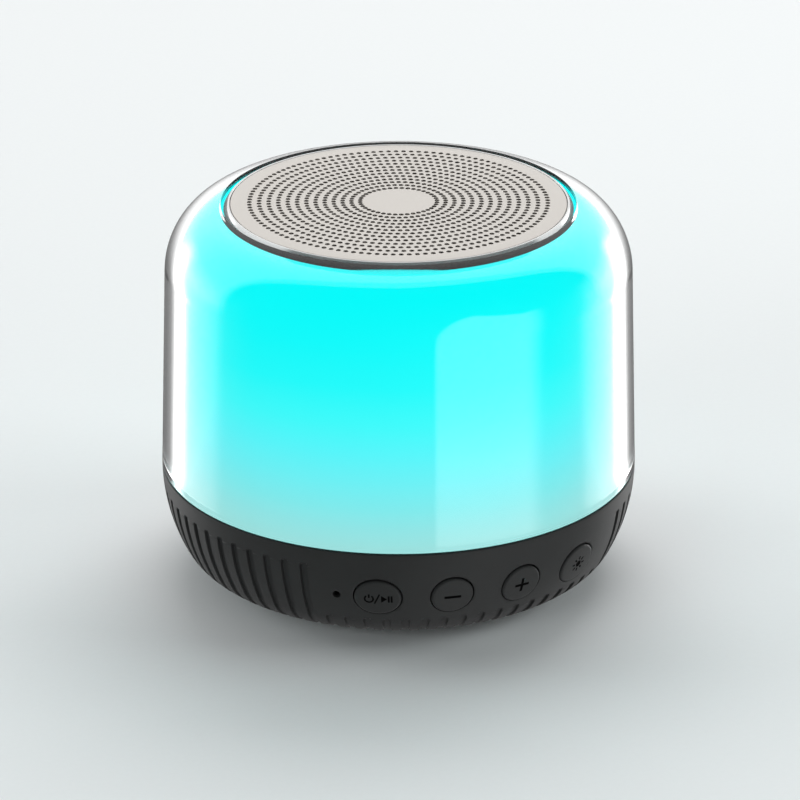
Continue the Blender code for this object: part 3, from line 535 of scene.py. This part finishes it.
def make_diffuser(finish):
    """The milky body, with a thin lip that glows in the gap between the ring and the shell."""
    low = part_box("light_diffuser")[0].z
    mouth = mouth_of("light_diffuser")
    outer = body_curve(DIFFUSER_INSET, low, mouth, 32)
    inner = body_curve(DIFFUSER_INSET + DIFFUSER_WALL, low, mouth, 24)
    lip_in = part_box("trim_ring")[1].x + LIP_GAPS[0]
    lip_out = mouth_of("outer_shell") - LIP_GAPS[1]
    lip = [(lip_in, inner[-1][1]), (lip_in, LIP_TOP), (lip_out, LIP_TOP), (lip_out, outer[-1][1])]
    new_piece("glowing_diffuser", lathe(outer[::-1] + inner + lip), finish,
              replaces=("light_diffuser",))


def make_ring(finish):
    low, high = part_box("trim_ring")
    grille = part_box("speaker_grille")
    inner = grille[1].x + RING_GAP
    shelf = grille[0].z - GAP
    outline = filleted([
        (inner, high.z - 0.02 * MM, RING_ROUND),
        (inner + RING_LIP, high.z, 0.1 * MM),
        (high.x, high.z - RING_DROP, RING_ROUND),
        (high.x - RING_TAPER, low.z, 0),
        (RING_SHELF, low.z, 0),
        (RING_SHELF, shelf, 0),
        (inner, shelf, 0),
    ], 10)
    new_piece("polished_trim_ring", lathe(outline), finish, replaces=("trim_ring",))


def hole_places():
    """Centres of the grille's holes, ring by ring, each ring turned a little from the last."""
    for i in range(HOLE_RINGS):
        radius = FIRST_RING + RING_PITCH * i + RING_GROWTH * i * i
        count = round(FIRST_HOLES + (LAST_HOLES - FIRST_HOLES) * i / (HOLE_RINGS - 1))
        for k in range(count):
            angle = 2 * pi * (k + 0.5 * (i % 2)) / count
            yield radius * cos(angle), radius * sin(angle)


def make_grille(finish):
    """The plate: one flat net of faces round the holes, above and below, and walls between them."""
    low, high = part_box("speaker_grille")
    top, bottom, radius = high.z, low.z, high.x
    centres = list(hole_places())
    points = circle(0, 0, radius - PLATE_EDGE, TURN)
    loops = [list(range(TURN))]
    for x, y in centres:
        loops.append(list(range(len(points), len(points) + HOLE_SIDES)))
        points += circle(x, y, HOLE_RADIUS + HOLE_EDGE, HOLE_SIDES)
    edges = [(a, b) for loop in loops for a, b in zip(loop, loop[1:] + loop[:1])]
    flat, _, faces, origin, _, _ = delaunay_2d_cdt([Vector(p) for p in points], edges, [], 1, 1e-9)
    names = [origin[i][0] for i in range(len(flat))]
    hole_of = {k: number for number, loop in enumerate(loops[1:]) for k in loop}
    bm = bmesh.new()
    upper = [bm.verts.new((p.x, p.y, top)) for p in flat]
    lower = [bm.verts.new((p.x, p.y, bottom)) for p in flat]
    for face in faces:
        owners = {hole_of.get(names[i], -1) for i in face}
        if len(owners) == 1 and owners != {-1}:
            continue
        bm.faces.new([upper[i] for i in face])
        bm.faces.new([lower[i] for i in reversed(face)])
    place_of = {name: i for i, name in enumerate(names)}

    def wall(loop, rings):
        middle = [[bm.verts.new((*point, height)) for point in ring] for ring, height in rings]
        skin(bm, [[upper[place_of[k]] for k in loop], *middle, [lower[place_of[k]] for k in loop]])

    for loop, (x, y) in zip(loops[1:], centres):
        bore = circle(x, y, HOLE_RADIUS, HOLE_SIDES)
        wall(loop, ((bore, top - HOLE_EDGE), (bore, bottom + HOLE_EDGE)))
    rim = [(circle(0, 0, radius - PLATE_EDGE + out, TURN), top - drop)
           for drop, out in ((0.06 * MM, 0.14 * MM), (PLATE_EDGE, PLATE_EDGE))]
    wall(loops[0], rim + [(circle(0, 0, radius, TURN), bottom + PLATE_BEVEL)])
    new_piece("perforated_grille", bm, finish, replaces=("speaker_grille",), sharp=28)


# ---------------------------------------------------------------- base


def groove_cut(height, across, top):
    """Depth of a grip groove at a height and a distance from its middle line; its top end is round."""
    half = GROOVE_WIDTH / 2
    over = height - (top - half)
    inside = half - (hypot(across, over) if over > 0 else abs(across))
    share = min(1.0, max(0.0, inside / GROOVE_WALL))
    fade = min(1.0, max(0.0, (height - base_low.z) / (GROOVE_FOOT - base_low.z)))
    return GROOVE_DEPTH * share * share * (3 - 2 * share) * fade


def is_short(groove):
    """Whether a groove lies under the button panel or the charging port."""
    from_front = min(groove, GROOVES - groove)
    return from_front < PANEL_HALF_PITCHES or GROOVES / 2 - from_front < PORT_HALF_PITCHES


def base_columns(height):
    """(angle, distance from the groove's middle, groove) of each column of the base at a height."""
    radius = base_radius(height)
    edge = GROOVE_WIDTH / 2
    offsets = [0.4 * edge] + [edge - GROOVE_WALL * share for share in (1.05, 0.78, 0.5, 0.22, -0.05)]
    signed = [-x for x in offsets[::-1]] + [0.0] + offsets + [pi * radius / GROOVES]
    for groove in range(GROOVES):
        for offset in signed:
            yield radians(GROOVE_TURN) + 2 * pi * groove / GROOVES + offset / radius, offset, groove


def base_inside():
    """Radius and height down the inner wall, which repeats the frame's."""
    plate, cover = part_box("mounting_plate"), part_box("bottom_cover")
    shelf = plate[0].z - GAP
    seat = cover[1].z + GAP
    ledge_top = seat + LEDGE_THICKNESS
    return (
        (plate[1].x + 2 * GAP, JOINT_HEIGHT),
        (plate[1].x + 2 * GAP, shelf),
        (CAVITY_RADIUS, shelf),
        (CAVITY_RADIUS, ledge_top + CAVITY_CORNER[1]),
        (CAVITY_RADIUS - CAVITY_CORNER[0], ledge_top),
        (LEDGE_RADIUS, ledge_top),
        (LEDGE_RADIUS, seat),
        (cover[1].x + GAP, seat),
        (cover[1].x + GAP, base_low.z),
    )


def make_base(finish):
    """The ribbed housing, skinned row by row, with its openings cut out."""
    short_foot, long_foot = SHORT_GROOVE_TOP - GROOVE_END, GROOVE_TOP - GROOVE_END
    levels = (base_low.z, GROOVE_FOOT, short_foot, SHORT_GROOVE_TOP, long_foot, GROOVE_TOP,
              JOINT_HEIGHT - RIM_ROUND)
    heights = []
    for start, end, rows in zip(levels, levels[1:], (7, 5, 10, 10, 10, 4)):
        heights += spaced(start, end, rows)[1:]

    def plain(radius, height):
        columns = base_columns(min(max(height, heights[0]), GROOVE_TOP))
        return [(radius * sin(a), -radius * cos(a), height) for a, _, _ in columns]

    rows = [plain(base_radius(base_low.z + 1e-6), base_low.z)]
    for height in heights:
        ring = []
        for angle, offset, groove in base_columns(min(height, GROOVE_TOP)):
            top = SHORT_GROOVE_TOP if is_short(groove) else GROOVE_TOP
            radius = base_radius(height) - groove_cut(height, offset, top)
            ring.append((radius * sin(angle), -radius * cos(angle), height))
        rows.append(ring)
    for turn in spaced(0, pi / 2, 4)[1:]:
        rows.append(plain(JOINT_RADIUS - RIM_ROUND * (1 - cos(turn)),
                          JOINT_HEIGHT - RIM_ROUND * (1 - sin(turn))))
    rows += [plain(*point) for point in base_inside()]
    base = new_piece("ribbed_base", joined_rings(rows, True), finish,
                     replaces=("base_housing",), sharp=40)
    tool = bmesh.new()
    for angle, width, height in KEYS.values():
        add_plug(tool, flared_rings(oval, angle, width / 2, height / 2, KEY_OPENING_EDGE))
    add_plug(tool, flared_rings(oval, MIC_ANGLE, MIC_HOLE, MIC_HOLE, MIC_EDGE))
    low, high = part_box("charging_port_shell")
    port_height = (high.z - low.z) / 2 + GAP
    add_plug(tool, flared_rings(slot_shape, 180, high.x + GAP, port_height, PORT_EDGE))
    add_screw_plugs(tool, ((SCREW_HOLE, 0), (SCREW_HOLE, OPENING_TOP)))
    cut(base, new_piece("base_openings", tool, finish, body=None), 40)


def add_plug(bm, rings):
    """Adds a closed plug, skinned from ring to ring, to the bmesh."""
    made = [[bm.verts.new(point) for point in ring] for ring in rings]
    skin(bm, made)
    bm.faces.new(made[0])
    bm.faces.new(made[-1])


def add_screw_plugs(bm, steps):
    """Adds a plug of (radius, height) steps at each screw of the bottom cover."""
    for name in COVER_SCREWS:
        low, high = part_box(name)
        x, y = (low.x + high.x) / 2, (low.y + high.y) / 2
        add_plug(bm, [[(*point, z) for point in circle(x, y, radius, SCREW_TURN)] for radius, z in steps])


def cut(target, tool, sharp):
    """Takes the tool's shape away from the target; the new faces keep the tool's finish."""
    change = target.modifiers.new(tool.name, "BOOLEAN")
    change.operation = "DIFFERENCE"
    change.solver = "EXACT"
    change.material_mode = "TRANSFER"
    change.object = tool
    bpy.context.view_layer.update()
    result = target.evaluated_get(bpy.context.evaluated_depsgraph_get())
    mesh = bpy.data.meshes.new_from_object(result)
    target.modifiers.remove(change)
    target.data = mesh
    mesh.set_sharp_from_angle(angle=radians(sharp))
    bpy.data.objects.remove(tool)


def oval(half_width, half_height):
    """A button's outline."""
    return [(half_width * cos(t), half_height * sin(t)) for t in spaced(0, 2 * pi, KEY_SIDES)[:-1]]


def slot_shape(half_width, half_height):
    points = []
    for side in (1, -1):
        for t in spaced(-pi / 2, pi / 2, 12):
            across = half_width - half_height + half_height * cos(t)
            points.append((side * across, side * half_height * sin(t)))
    return points


def panel_point(angle, x, z, depth):
    """A point x across and z up from a button's middle, at a depth under the base's surface."""
    out = sqrt(base_radius(KEY_HEIGHT + z) ** 2 - x**2) - depth
    turn = radians(angle)
    return (x * cos(turn) + out * sin(turn), x * sin(turn) - out * cos(turn), KEY_HEIGHT + z)


def flared_rings(shape, angle, half_width, half_height, edge):
    """Rings of a plug whose mouth widens at the base's surface, which softens the edge it leaves."""
    steps = ((0, CUT_IN), (0, edge), (0.3 * edge, 0.4 * edge), (edge, 0), (3 * edge, -CUT_OUT))
    return [[panel_point(angle, x, z, depth) for x, z in shape(half_width + grow, half_height + grow)]
            for grow, depth in steps]


# ---------------------------------------------------------------- buttons


def bar(x0, z0, x1, z1, width):
    """Corners of a straight stroke between two points."""
    along = Vector((x1 - x0, z1 - z0)).normalized() * width / 2
    side = (-along.y, along.x)
    return [(x0 - side[0], z0 - side[1]), (x1 - side[0], z1 - side[1]),
            (x1 + side[0], z1 + side[1]), (x0 + side[0], z0 + side[1])]


def arc_band(x, z, radius, width, start, end, steps=24):
    """A ring segment round a point, anticlockwise from start to end, in degrees."""
    turns = [radians(t) for t in spaced(start, end, steps)]
    outer = [(x + (radius + width / 2) * cos(t), z + (radius + width / 2) * sin(t)) for t in turns]
    inner = [(x + (radius - width / 2) * cos(t), z + (radius - width / 2) * sin(t)) for t in turns]
    return outer + inner[::-1]


def symbol_shapes(name):
    """Outlines, in mm from the button's middle, of its generic symbol."""
    low, half = SYMBOL_DROP, SYMBOL_LINE / 2
    if name == "volume_down":
        return [bar(-MINUS_ARM, low, MINUS_ARM, low, SYMBOL_LINE)]
    low += 0.05
    if name == "volume_up":
        arm = PLUS_ARM
        return [[(x, low + z) for x, z in (
            (-arm, -half), (-half, -half), (-half, -arm), (half, -arm), (half, -half), (arm, -half),
            (arm, half), (half, half), (half, arm), (-half, arm), (-half, half), (-arm, half))]]
    if name == "light":
        x, low = 0.15, low + 0.05
        starts, ends = (circle(x, low, reach, SUN_RAYS) for reach in RAY_REACH)
        rays = [bar(*start, *end, RAY_WIDTH) for start, end in zip(starts, ends)]
        return rays + [circle(x, low, SUN_RADIUS, 24)]
    across, radius = POWER_MARK
    return [
        arc_band(across, low, radius, THIN_LINE, 127, 413),
        bar(across, low + 0.2, across, low + 1.05, THIN_LINE),
        bar(-0.60, low - 1.1, 0.38, low + 1.12, 0.28),
        [(0.66, low - 0.82), (1.78, low), (0.66, low + 0.82)],
        bar(2.08, low - 0.76, 2.08, low + 0.76, 0.34),
        bar(2.62, low - 0.76, 2.62, low + 0.76, 0.34),
    ]


def make_key(name, finish, ink):
    """A cap with a rounded edge, a flange behind the housing's wall and an inked, sunk symbol."""
    angle, width, height = KEYS[name]
    half_width, half_height = width / 2 - KEY_GAP, height / 2 - KEY_GAP
    rows = []
    for share in KEY_ROWS:
        rows.append([(x * share, z * share, -KEY_PROUD) for x, z in oval(half_width, half_height)])
    for t in spaced(0, pi / 2, 5):
        inset = KEY_EDGE * (1 - sin(t))
        sunk = KEY_EDGE * (1 - cos(t))
        rows.append([(x, z, sunk - KEY_PROUD) for x, z in oval(half_width - inset, half_height - inset)])
    rings = [[panel_point(angle, x, z - KEY_SAG, depth) for x, z, depth in row] for row in rows]
    turn = radians(angle)
    height = KEY_HEIGHT - KEY_SAG
    for grow, out in ((0, FLANGE_OUT), (FLANGE_LIP, FLANGE_OUT), (FLANGE_LIP, FLANGE_IN)):
        rings.append([(x * cos(turn) + out * sin(turn), x * sin(turn) - out * cos(turn), height + z)
                      for x, z in oval(half_width + grow, half_height + grow)])
    bm = joined_rings(rings, False)
    bm.verts.ensure_lookup_table()
    for ring in (bm.verts[:KEY_SIDES], bm.verts[-KEY_SIDES:]):
        middle = bm.verts.new(sum((v.co for v in ring), Vector()) / KEY_SIDES)
        for k in range(KEY_SIDES):
            bm.faces.new((ring[k - 1], ring[k], middle))
    key = new_piece(f"{name}_cap", bm, finish, body=f"{name}_key",
                    replaces=(f"{name}_button",))
    tool = bmesh.new()
    for outline in symbol_shapes(name):
        add_plug(tool, [[panel_point(angle, x * MM, z * MM, depth) for x, z in outline]
                        for depth in (SYMBOL_DEPTH - KEY_PROUD, -1 * MM)])
    cut(key, new_piece(f"{name}_symbol", tool, ink, body=None), 35)


# ---------------------------------------------------------------- underside and driver


def make_underside(dark, rubber):
    low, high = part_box("bottom_cover")
    foot_low, foot_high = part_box("foot_ring")
    outer, inner, recess = foot_high.x + GAP, FOOT_INNER - GAP, foot_high.z + GAP
    cover = new_piece("base_cover", lathe(filleted([
        (0, high.z, 0),
        (high.x, high.z, 0.2 * MM),
        (high.x, low.z, 0.5 * MM),
        (outer, low.z, 0.1 * MM),
        (outer, recess, 0),
        (inner, recess, 0),
        (inner, low.z, 0.2 * MM),
        (0, low.z, 0),
    ], 4)), dark, replaces=("bottom_cover",))
    tool = bmesh.new()
    add_screw_plugs(tool, ((HEAD_WELL, 0), (HEAD_WELL, SCREW_SEAT),
                           (SCREW_HOLE, SCREW_SEAT), (SCREW_HOLE, high.z + MM)))
    cut(cover, new_piece("cover_wells", tool, dark, body=None), 35)
    new_piece("rubber_foot", lathe(filleted([
        (foot_high.x, foot_high.z, 0),
        (foot_high.x, foot_low.z, 0.4 * MM),
        (FOOT_INNER, foot_low.z, 0.4 * MM),
        (FOOT_INNER, foot_high.z, 0),
    ])), rubber, replaces=("foot_ring",))


def lip_on_cone(vertex, radius):
    """The underside of the surround's inner lip, brought down to the cone that it is glued to."""
    cone_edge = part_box("driver_cone")[1]
    if radius <= cone_edge.x + GLUE and vertex.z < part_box("driver_surround")[0].z + GAP:
        vertex.z = cone_edge.z + GLUE - CONE_SLOPE * (cone_edge.x - radius)


def edge_on_coil(vertex, radius):
    """The spider's inner edge, brought in to the coil's tube that it is glued to."""
    if radius < SPIDER_EDGE:
        vertex.xy *= (COIL_TUBE_RADIUS + GLUE) / radius


def make_flexing(node, name, finish, bend, glued):
    """A copy of a driver part that bends between the moving cone and the fixed basket, by radius."""
    inner, outer = bend
    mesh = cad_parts[node].data.copy()
    for vertex in mesh.vertices:
        glued(vertex.co, hypot(vertex.co.x, vertex.co.y))
    mesh.name = name
    mesh.materials.clear()
    mesh.materials.append(finish)
    mesh.shade_smooth()
    mesh.set_sharp_from_angle(angle=radians(50))
    thing = bpy.data.objects.new(name, mesh)
    bpy.context.scene.collection.objects.link(thing)
    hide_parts(node)
    middle = sum(v.co.z for v in mesh.vertices) / len(mesh.vertices)
    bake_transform(thing, "diaphragm", BODY, start=(inner, 0, middle), end=(outer, 0, middle))
    weights = thing.data.attributes["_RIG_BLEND"].data
    for vertex, weight in zip(thing.data.vertices, weights):
        share = min(1.0, max(0.0, (hypot(vertex.co.x, vertex.co.y) - inner) / (outer - inner)))
        weight.value = share * share * (3 - 2 * share)


# ---------------------------------------------------------------- studio


def make_floor():
    made, tree, shader = new_material("floor_paper")
    fine = noise(tree, 900.0, 2.0)
    shader.inputs["Specular IOR Level"].default_value = 0.0
    shader.inputs["Roughness"].default_value = 0.95
    light = tuple(c * FLOOR_SPREAD for c in FLOOR_COLOUR)
    tone = ramp(tree, fine, ((0.3, FLOOR_COLOUR), (0.7, light)))
    tree.links.new(tone, shader.inputs["Base Color"])
    bm = bmesh.new()
    bmesh.ops.create_circle(bm, cap_ends=True, segments=128, radius=FLOOR_RADIUS)
    mesh = bpy.data.meshes.new("studio_floor")
    bm.to_mesh(mesh)
    bm.free()
    mesh.materials.append(made)
    floor = bpy.data.objects.new("studio_floor", mesh)
    bpy.context.scene.collection.objects.link(floor)
    floor.visible_glossy = False
    floor.visible_transmission = False


# Brightness of the side panels, as a share of their full strength, by degrees from AROUND_MIDDLE,
# which is itself in degrees from the camera's direction towards its right
AROUND_MIDDLE = 2.0
AROUND = (
    (78, 0.0),
    (90, 0.015),
    (96, 0.03),
    (99, 0.05),
    (104, 0.15),
    (114, 0.22),
    (124, 0.24),
    (129, 0.25),
    (133, 0.52),
    (136, 1.0),
    (140, 1.0),
    (143, 0.58),
    (146, 0.26),
    (150, 0.10),
    (155, 0.065),
    (160, 0.045),
)


def make_world():
    """What mirrored and refracted rays see, by direction: a tent behind the object, tall panels
    either side of it, a weak glow from below and one round-cornered pane at the front right."""
    world = bpy.data.worlds.new("studio")
    bpy.context.scene.world = world
    world.use_nodes = True
    world.cycles.sampling_method = "NONE"
    tree = world.node_tree
    turn = tree.nodes.new("ShaderNodeMapping")
    turn.inputs["Rotation"].default_value[2] = -radians(CAMERA_AZIMUTH)
    tree.links.new(tree.nodes.new("ShaderNodeTexCoord").outputs["Generated"], turn.inputs["Vector"])
    axes = tree.nodes.new("ShaderNodeSeparateXYZ")
    tree.links.new(turn.outputs["Vector"], axes.inputs["Vector"])
    x, y, z = (axes.outputs[axis] for axis in "XYZ")

    def math(kind, *values):
        node = tree.nodes.new("ShaderNodeMath")
        node.operation = kind
        for value, socket in zip(values, node.inputs):
            if isinstance(value, (int, float)):
                socket.default_value = value
            else:
                tree.links.new(value, socket)
        return node.outputs[0]

    # Degrees from the camera's direction, with its right positive
    side = math("MULTIPLY", math("ARCTAN2", x, math("MULTIPLY", y, -1.0)), 180 / pi)
    spread = math("ABSOLUTE", math("SUBTRACT", side, AROUND_MIDDLE))
    edge = math("SUBTRACT", y, math("MULTIPLY", math("MAXIMUM", x, 0.0), 0.35))
    tent = mapped(tree, edge, 0.05, 0.11, TENT_FRONT, TENT_BACK, smooth=True)
    above = mapped(tree, z, -0.3, 0.02, 0.0, 1.0, smooth=True)
    around = ramp(tree, math("DIVIDE", spread, 180.0), [(a / 180, (v, v, v)) for a, v in AROUND])
    panels = math("MULTIPLY", around, mapped(tree, z, 0.0, 0.3, 1.0, 0.0))
    panels = math("MULTIPLY", panels, mapped(tree, z, -0.52, -0.43, 0.2, 1.0))
    strength = mapped(tree, x, -0.6, 0.6, SIDE_PANEL, RIGHT_PANEL_SHARE * SIDE_PANEL)
    panels = math("MULTIPLY", panels, strength)
    under = mapped(tree, z, -0.6, -0.45, UNDER_GLOW, 0.0)
    corner_side = math("MAXIMUM", math("DIVIDE", math("SUBTRACT", 40.0, side), 22.0), 0.0)
    corner_top = math("ADD", mapped(tree, z, -0.12, 1.04, 0.0, 2.0),
                      mapped(tree, side, 40.0, 64.0, 0.0, 0.36))
    reach = math("SQRT", math("ADD", math("POWER", corner_side, 2.0), math("POWER", corner_top, 2.0)))
    window = math("MULTIPLY", mapped(tree, reach, 0.93, 1.07, WINDOW_PANEL, 0.0, smooth=True),
                  mapped(tree, side, 64.0, 77.0, 1.0, 0.0, smooth=True))
    total = math("ADD", math("MULTIPLY", tent, above), under)
    total = math("ADD", total, math("ADD", panels, window))
    background = tree.nodes["Background"]
    background.inputs["Color"].default_value = (1, 1, 1, 1)
    tree.links.new(total, background.inputs["Strength"])


def view_frame():
    """The level direction from the object to the camera, and the one to the camera's right."""
    turn = radians(CAMERA_AZIMUTH)
    return Vector((sin(turn), -cos(turn), 0)), Vector((cos(turn), sin(turn), 0))


def make_light(name, towards, right, height, size, power, colour):
    """A soft lamp that lights the object and the floor, but isn't seen in either."""
    front, across = view_frame()
    data = bpy.data.lights.new(name, "AREA")
    data.shape = "RECTANGLE"
    data.size, data.size_y = size
    data.energy = power
    data.color = colour
    lamp = bpy.data.objects.new(name, data)
    lamp.location = front * towards + across * right + Vector((0, 0, height))
    lamp.rotation_mode = "QUATERNION"
    lamp.rotation_quaternion = (Vector(LAMP_AIM) - lamp.location).to_track_quat("-Z", "Y")
    lamp.visible_glossy = lamp.visible_transmission = False
    bpy.context.scene.collection.objects.link(lamp)


def make_camera():
    azimuth, elevation = radians(CAMERA_AZIMUTH), radians(CAMERA_ELEVATION)
    aim = Vector((0, 0, cad_low.z + AIM_SHARE * (cad_high.z - cad_low.z)))
    back = Vector((sin(azimuth) * cos(elevation), -cos(azimuth) * cos(elevation), sin(elevation)))
    data = bpy.data.cameras.new("camera")
    data.lens = CAMERA_LENS
    data.shift_x = CAMERA_SHIFT
    camera = bpy.data.objects.new("camera", data)
    camera.location = aim + back * CAMERA_DISTANCE
    camera.rotation_mode = "QUATERNION"
    camera.rotation_quaternion = (-back).to_track_quat("-Z", "Y")
    bpy.context.scene.collection.objects.link(camera)
    bpy.context.scene.camera = camera


# ---------------------------------------------------------------- everything together

make_camera()

dark = grained("dark_housing", (0.032, 0.0325, 0.0325), 0.05, 0.56, 0.12 * MM, 0.004 * MM, gloss=0.26)
ink = grained("symbol_ink", (0.0012, 0.0012, 0.0012), 0.1, 0.8, 0.1 * MM, 0.002 * MM, gloss=0.05)
rubber = grained("black_rubber", (0.018, 0.018, 0.018), 0.08, 0.8, 0.2 * MM, 0.01 * MM)
black = grained("black_plastic", (0.018, 0.018, 0.018), 0.06, 0.5, 0.15 * MM, 0.004 * MM)
steel = turned_metal("polished_ring", (0.85, 0.85, 0.85), 0.14, 0.08 * MM, 0.0005 * MM, 0.6)
plate = turned_metal("grille_metal", (0.80, 0.765, 0.72), 0.42, 0.10 * MM, 0.001 * MM)
milky = glowing_plastic(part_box("light_diffuser")[0].z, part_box("light_diffuser")[1].z)
clear = clear_plastic()
white = grained("white_plastic", (0.78, 0.78, 0.76), 0.03, 0.5, 0.2 * MM, 0.004 * MM)
board = grained("circuit_board", (0.015, 0.11, 0.045), 0.12, 0.35, 0.3 * MM, 0.002 * MM)
metal = grained("plated_steel", (0.62, 0.62, 0.60), 0.06, 0.3, 0.1 * MM, 0.001 * MM, metallic=1.0)
ferrite = grained("ferrite", (0.05, 0.05, 0.055), 0.15, 0.65, 0.15 * MM, 0.01 * MM)
copper = grained("copper_winding", (0.60, 0.24, 0.10), 0.15, 0.35, 0.15 * MM, 0.02 * MM, metallic=1.0)
paper = grained("cone_paper", (0.03, 0.03, 0.03), 0.25, 0.85, 0.3 * MM, 0.03 * MM)
painted = grained("driver_frame", (0.025, 0.025, 0.025), 0.08, 0.45, 0.2 * MM, 0.005 * MM)
seal = grained("foam_black", (0.02, 0.02, 0.02), 0.3, 0.95, 0.25 * MM, 0.06 * MM)
foam = grained("foam", (0.72, 0.72, 0.68), 0.08, 0.95, 0.25 * MM, 0.06 * MM)
lamp = grained("led_package", (0.85, 0.85, 0.72), 0.05, 0.4, 0.2 * MM, 0.002 * MM)
wrap = grained("battery_wrap", (0.08, 0.19, 0.42), 0.1, 0.35, 1.5 * MM, 0.03 * MM)
red = grained("red_lead", (0.50, 0.02, 0.02), 0.08, 0.45, 0.2 * MM, 0.003 * MM)
cloth = woven("woven_cloth", (0.03, 0.03, 0.03), 0.3 * MM, 0.03 * MM)
spider_cloth = woven("spider_cloth", (0.50, 0.36, 0.15), 0.35 * MM, 0.04 * MM)

CARRIED = (
    (black, ("charging_port_tongue", "battery_lead", "bluetooth_module")),
    (rubber, ("microphone_boot",)),
    (white, ("mounting_plate", "speaker_chamber")),
    (board, ("main_board", "light_board")),
    (metal, ("microphone", "charging_port_shell", "magnet_top_plate", "magnet_back_plate")),
    (ferrite, ("driver_magnet",)),
    (copper, ("voice_coil",)),
    (paper, ("driver_cone", "dust_cap")),
    (painted, ("driver_basket",)),
    (seal, ("driver_gasket",)),
    (foam, ("battery_pad",)),
    (wrap, ("battery_cell",)),
    (red, ("speaker_lead",)),
    (cloth, ("grille_cloth",)),
    (lamp, tuple(f"led_{i}" for i in range(1, 9))),
    (metal, tuple(f"driver_screw_{i}" for i in range(1, 5)) + COVER_SCREWS),
    (metal, tuple(f"{name}_switch" for name in KEYS)),
    (black, tuple(f"{name}_plunger" for name in KEYS)),
)
for finish, names in CARRIED:
    for name in names:
        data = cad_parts[name].data
        data.materials.clear()
        data.materials.append(finish)

make_shell(clear)
make_diffuser(milky)
make_ring(steel)
make_grille(plate)
make_base(dark)
for name in KEYS:
    make_key(name, dark, ink)
make_underside(dark, rubber)
make_flexing("driver_surround", "cone_surround", rubber, SURROUND_BEND, lip_on_cone)
make_flexing("driver_spider", "cone_spider", spider_cloth, SPIDER_BEND, edge_on_coil)

make_floor()
make_world()
for name, details in LAMPS.items():
    make_light(name, *details)
bpy.context.scene.view_settings.view_transform = "Standard"
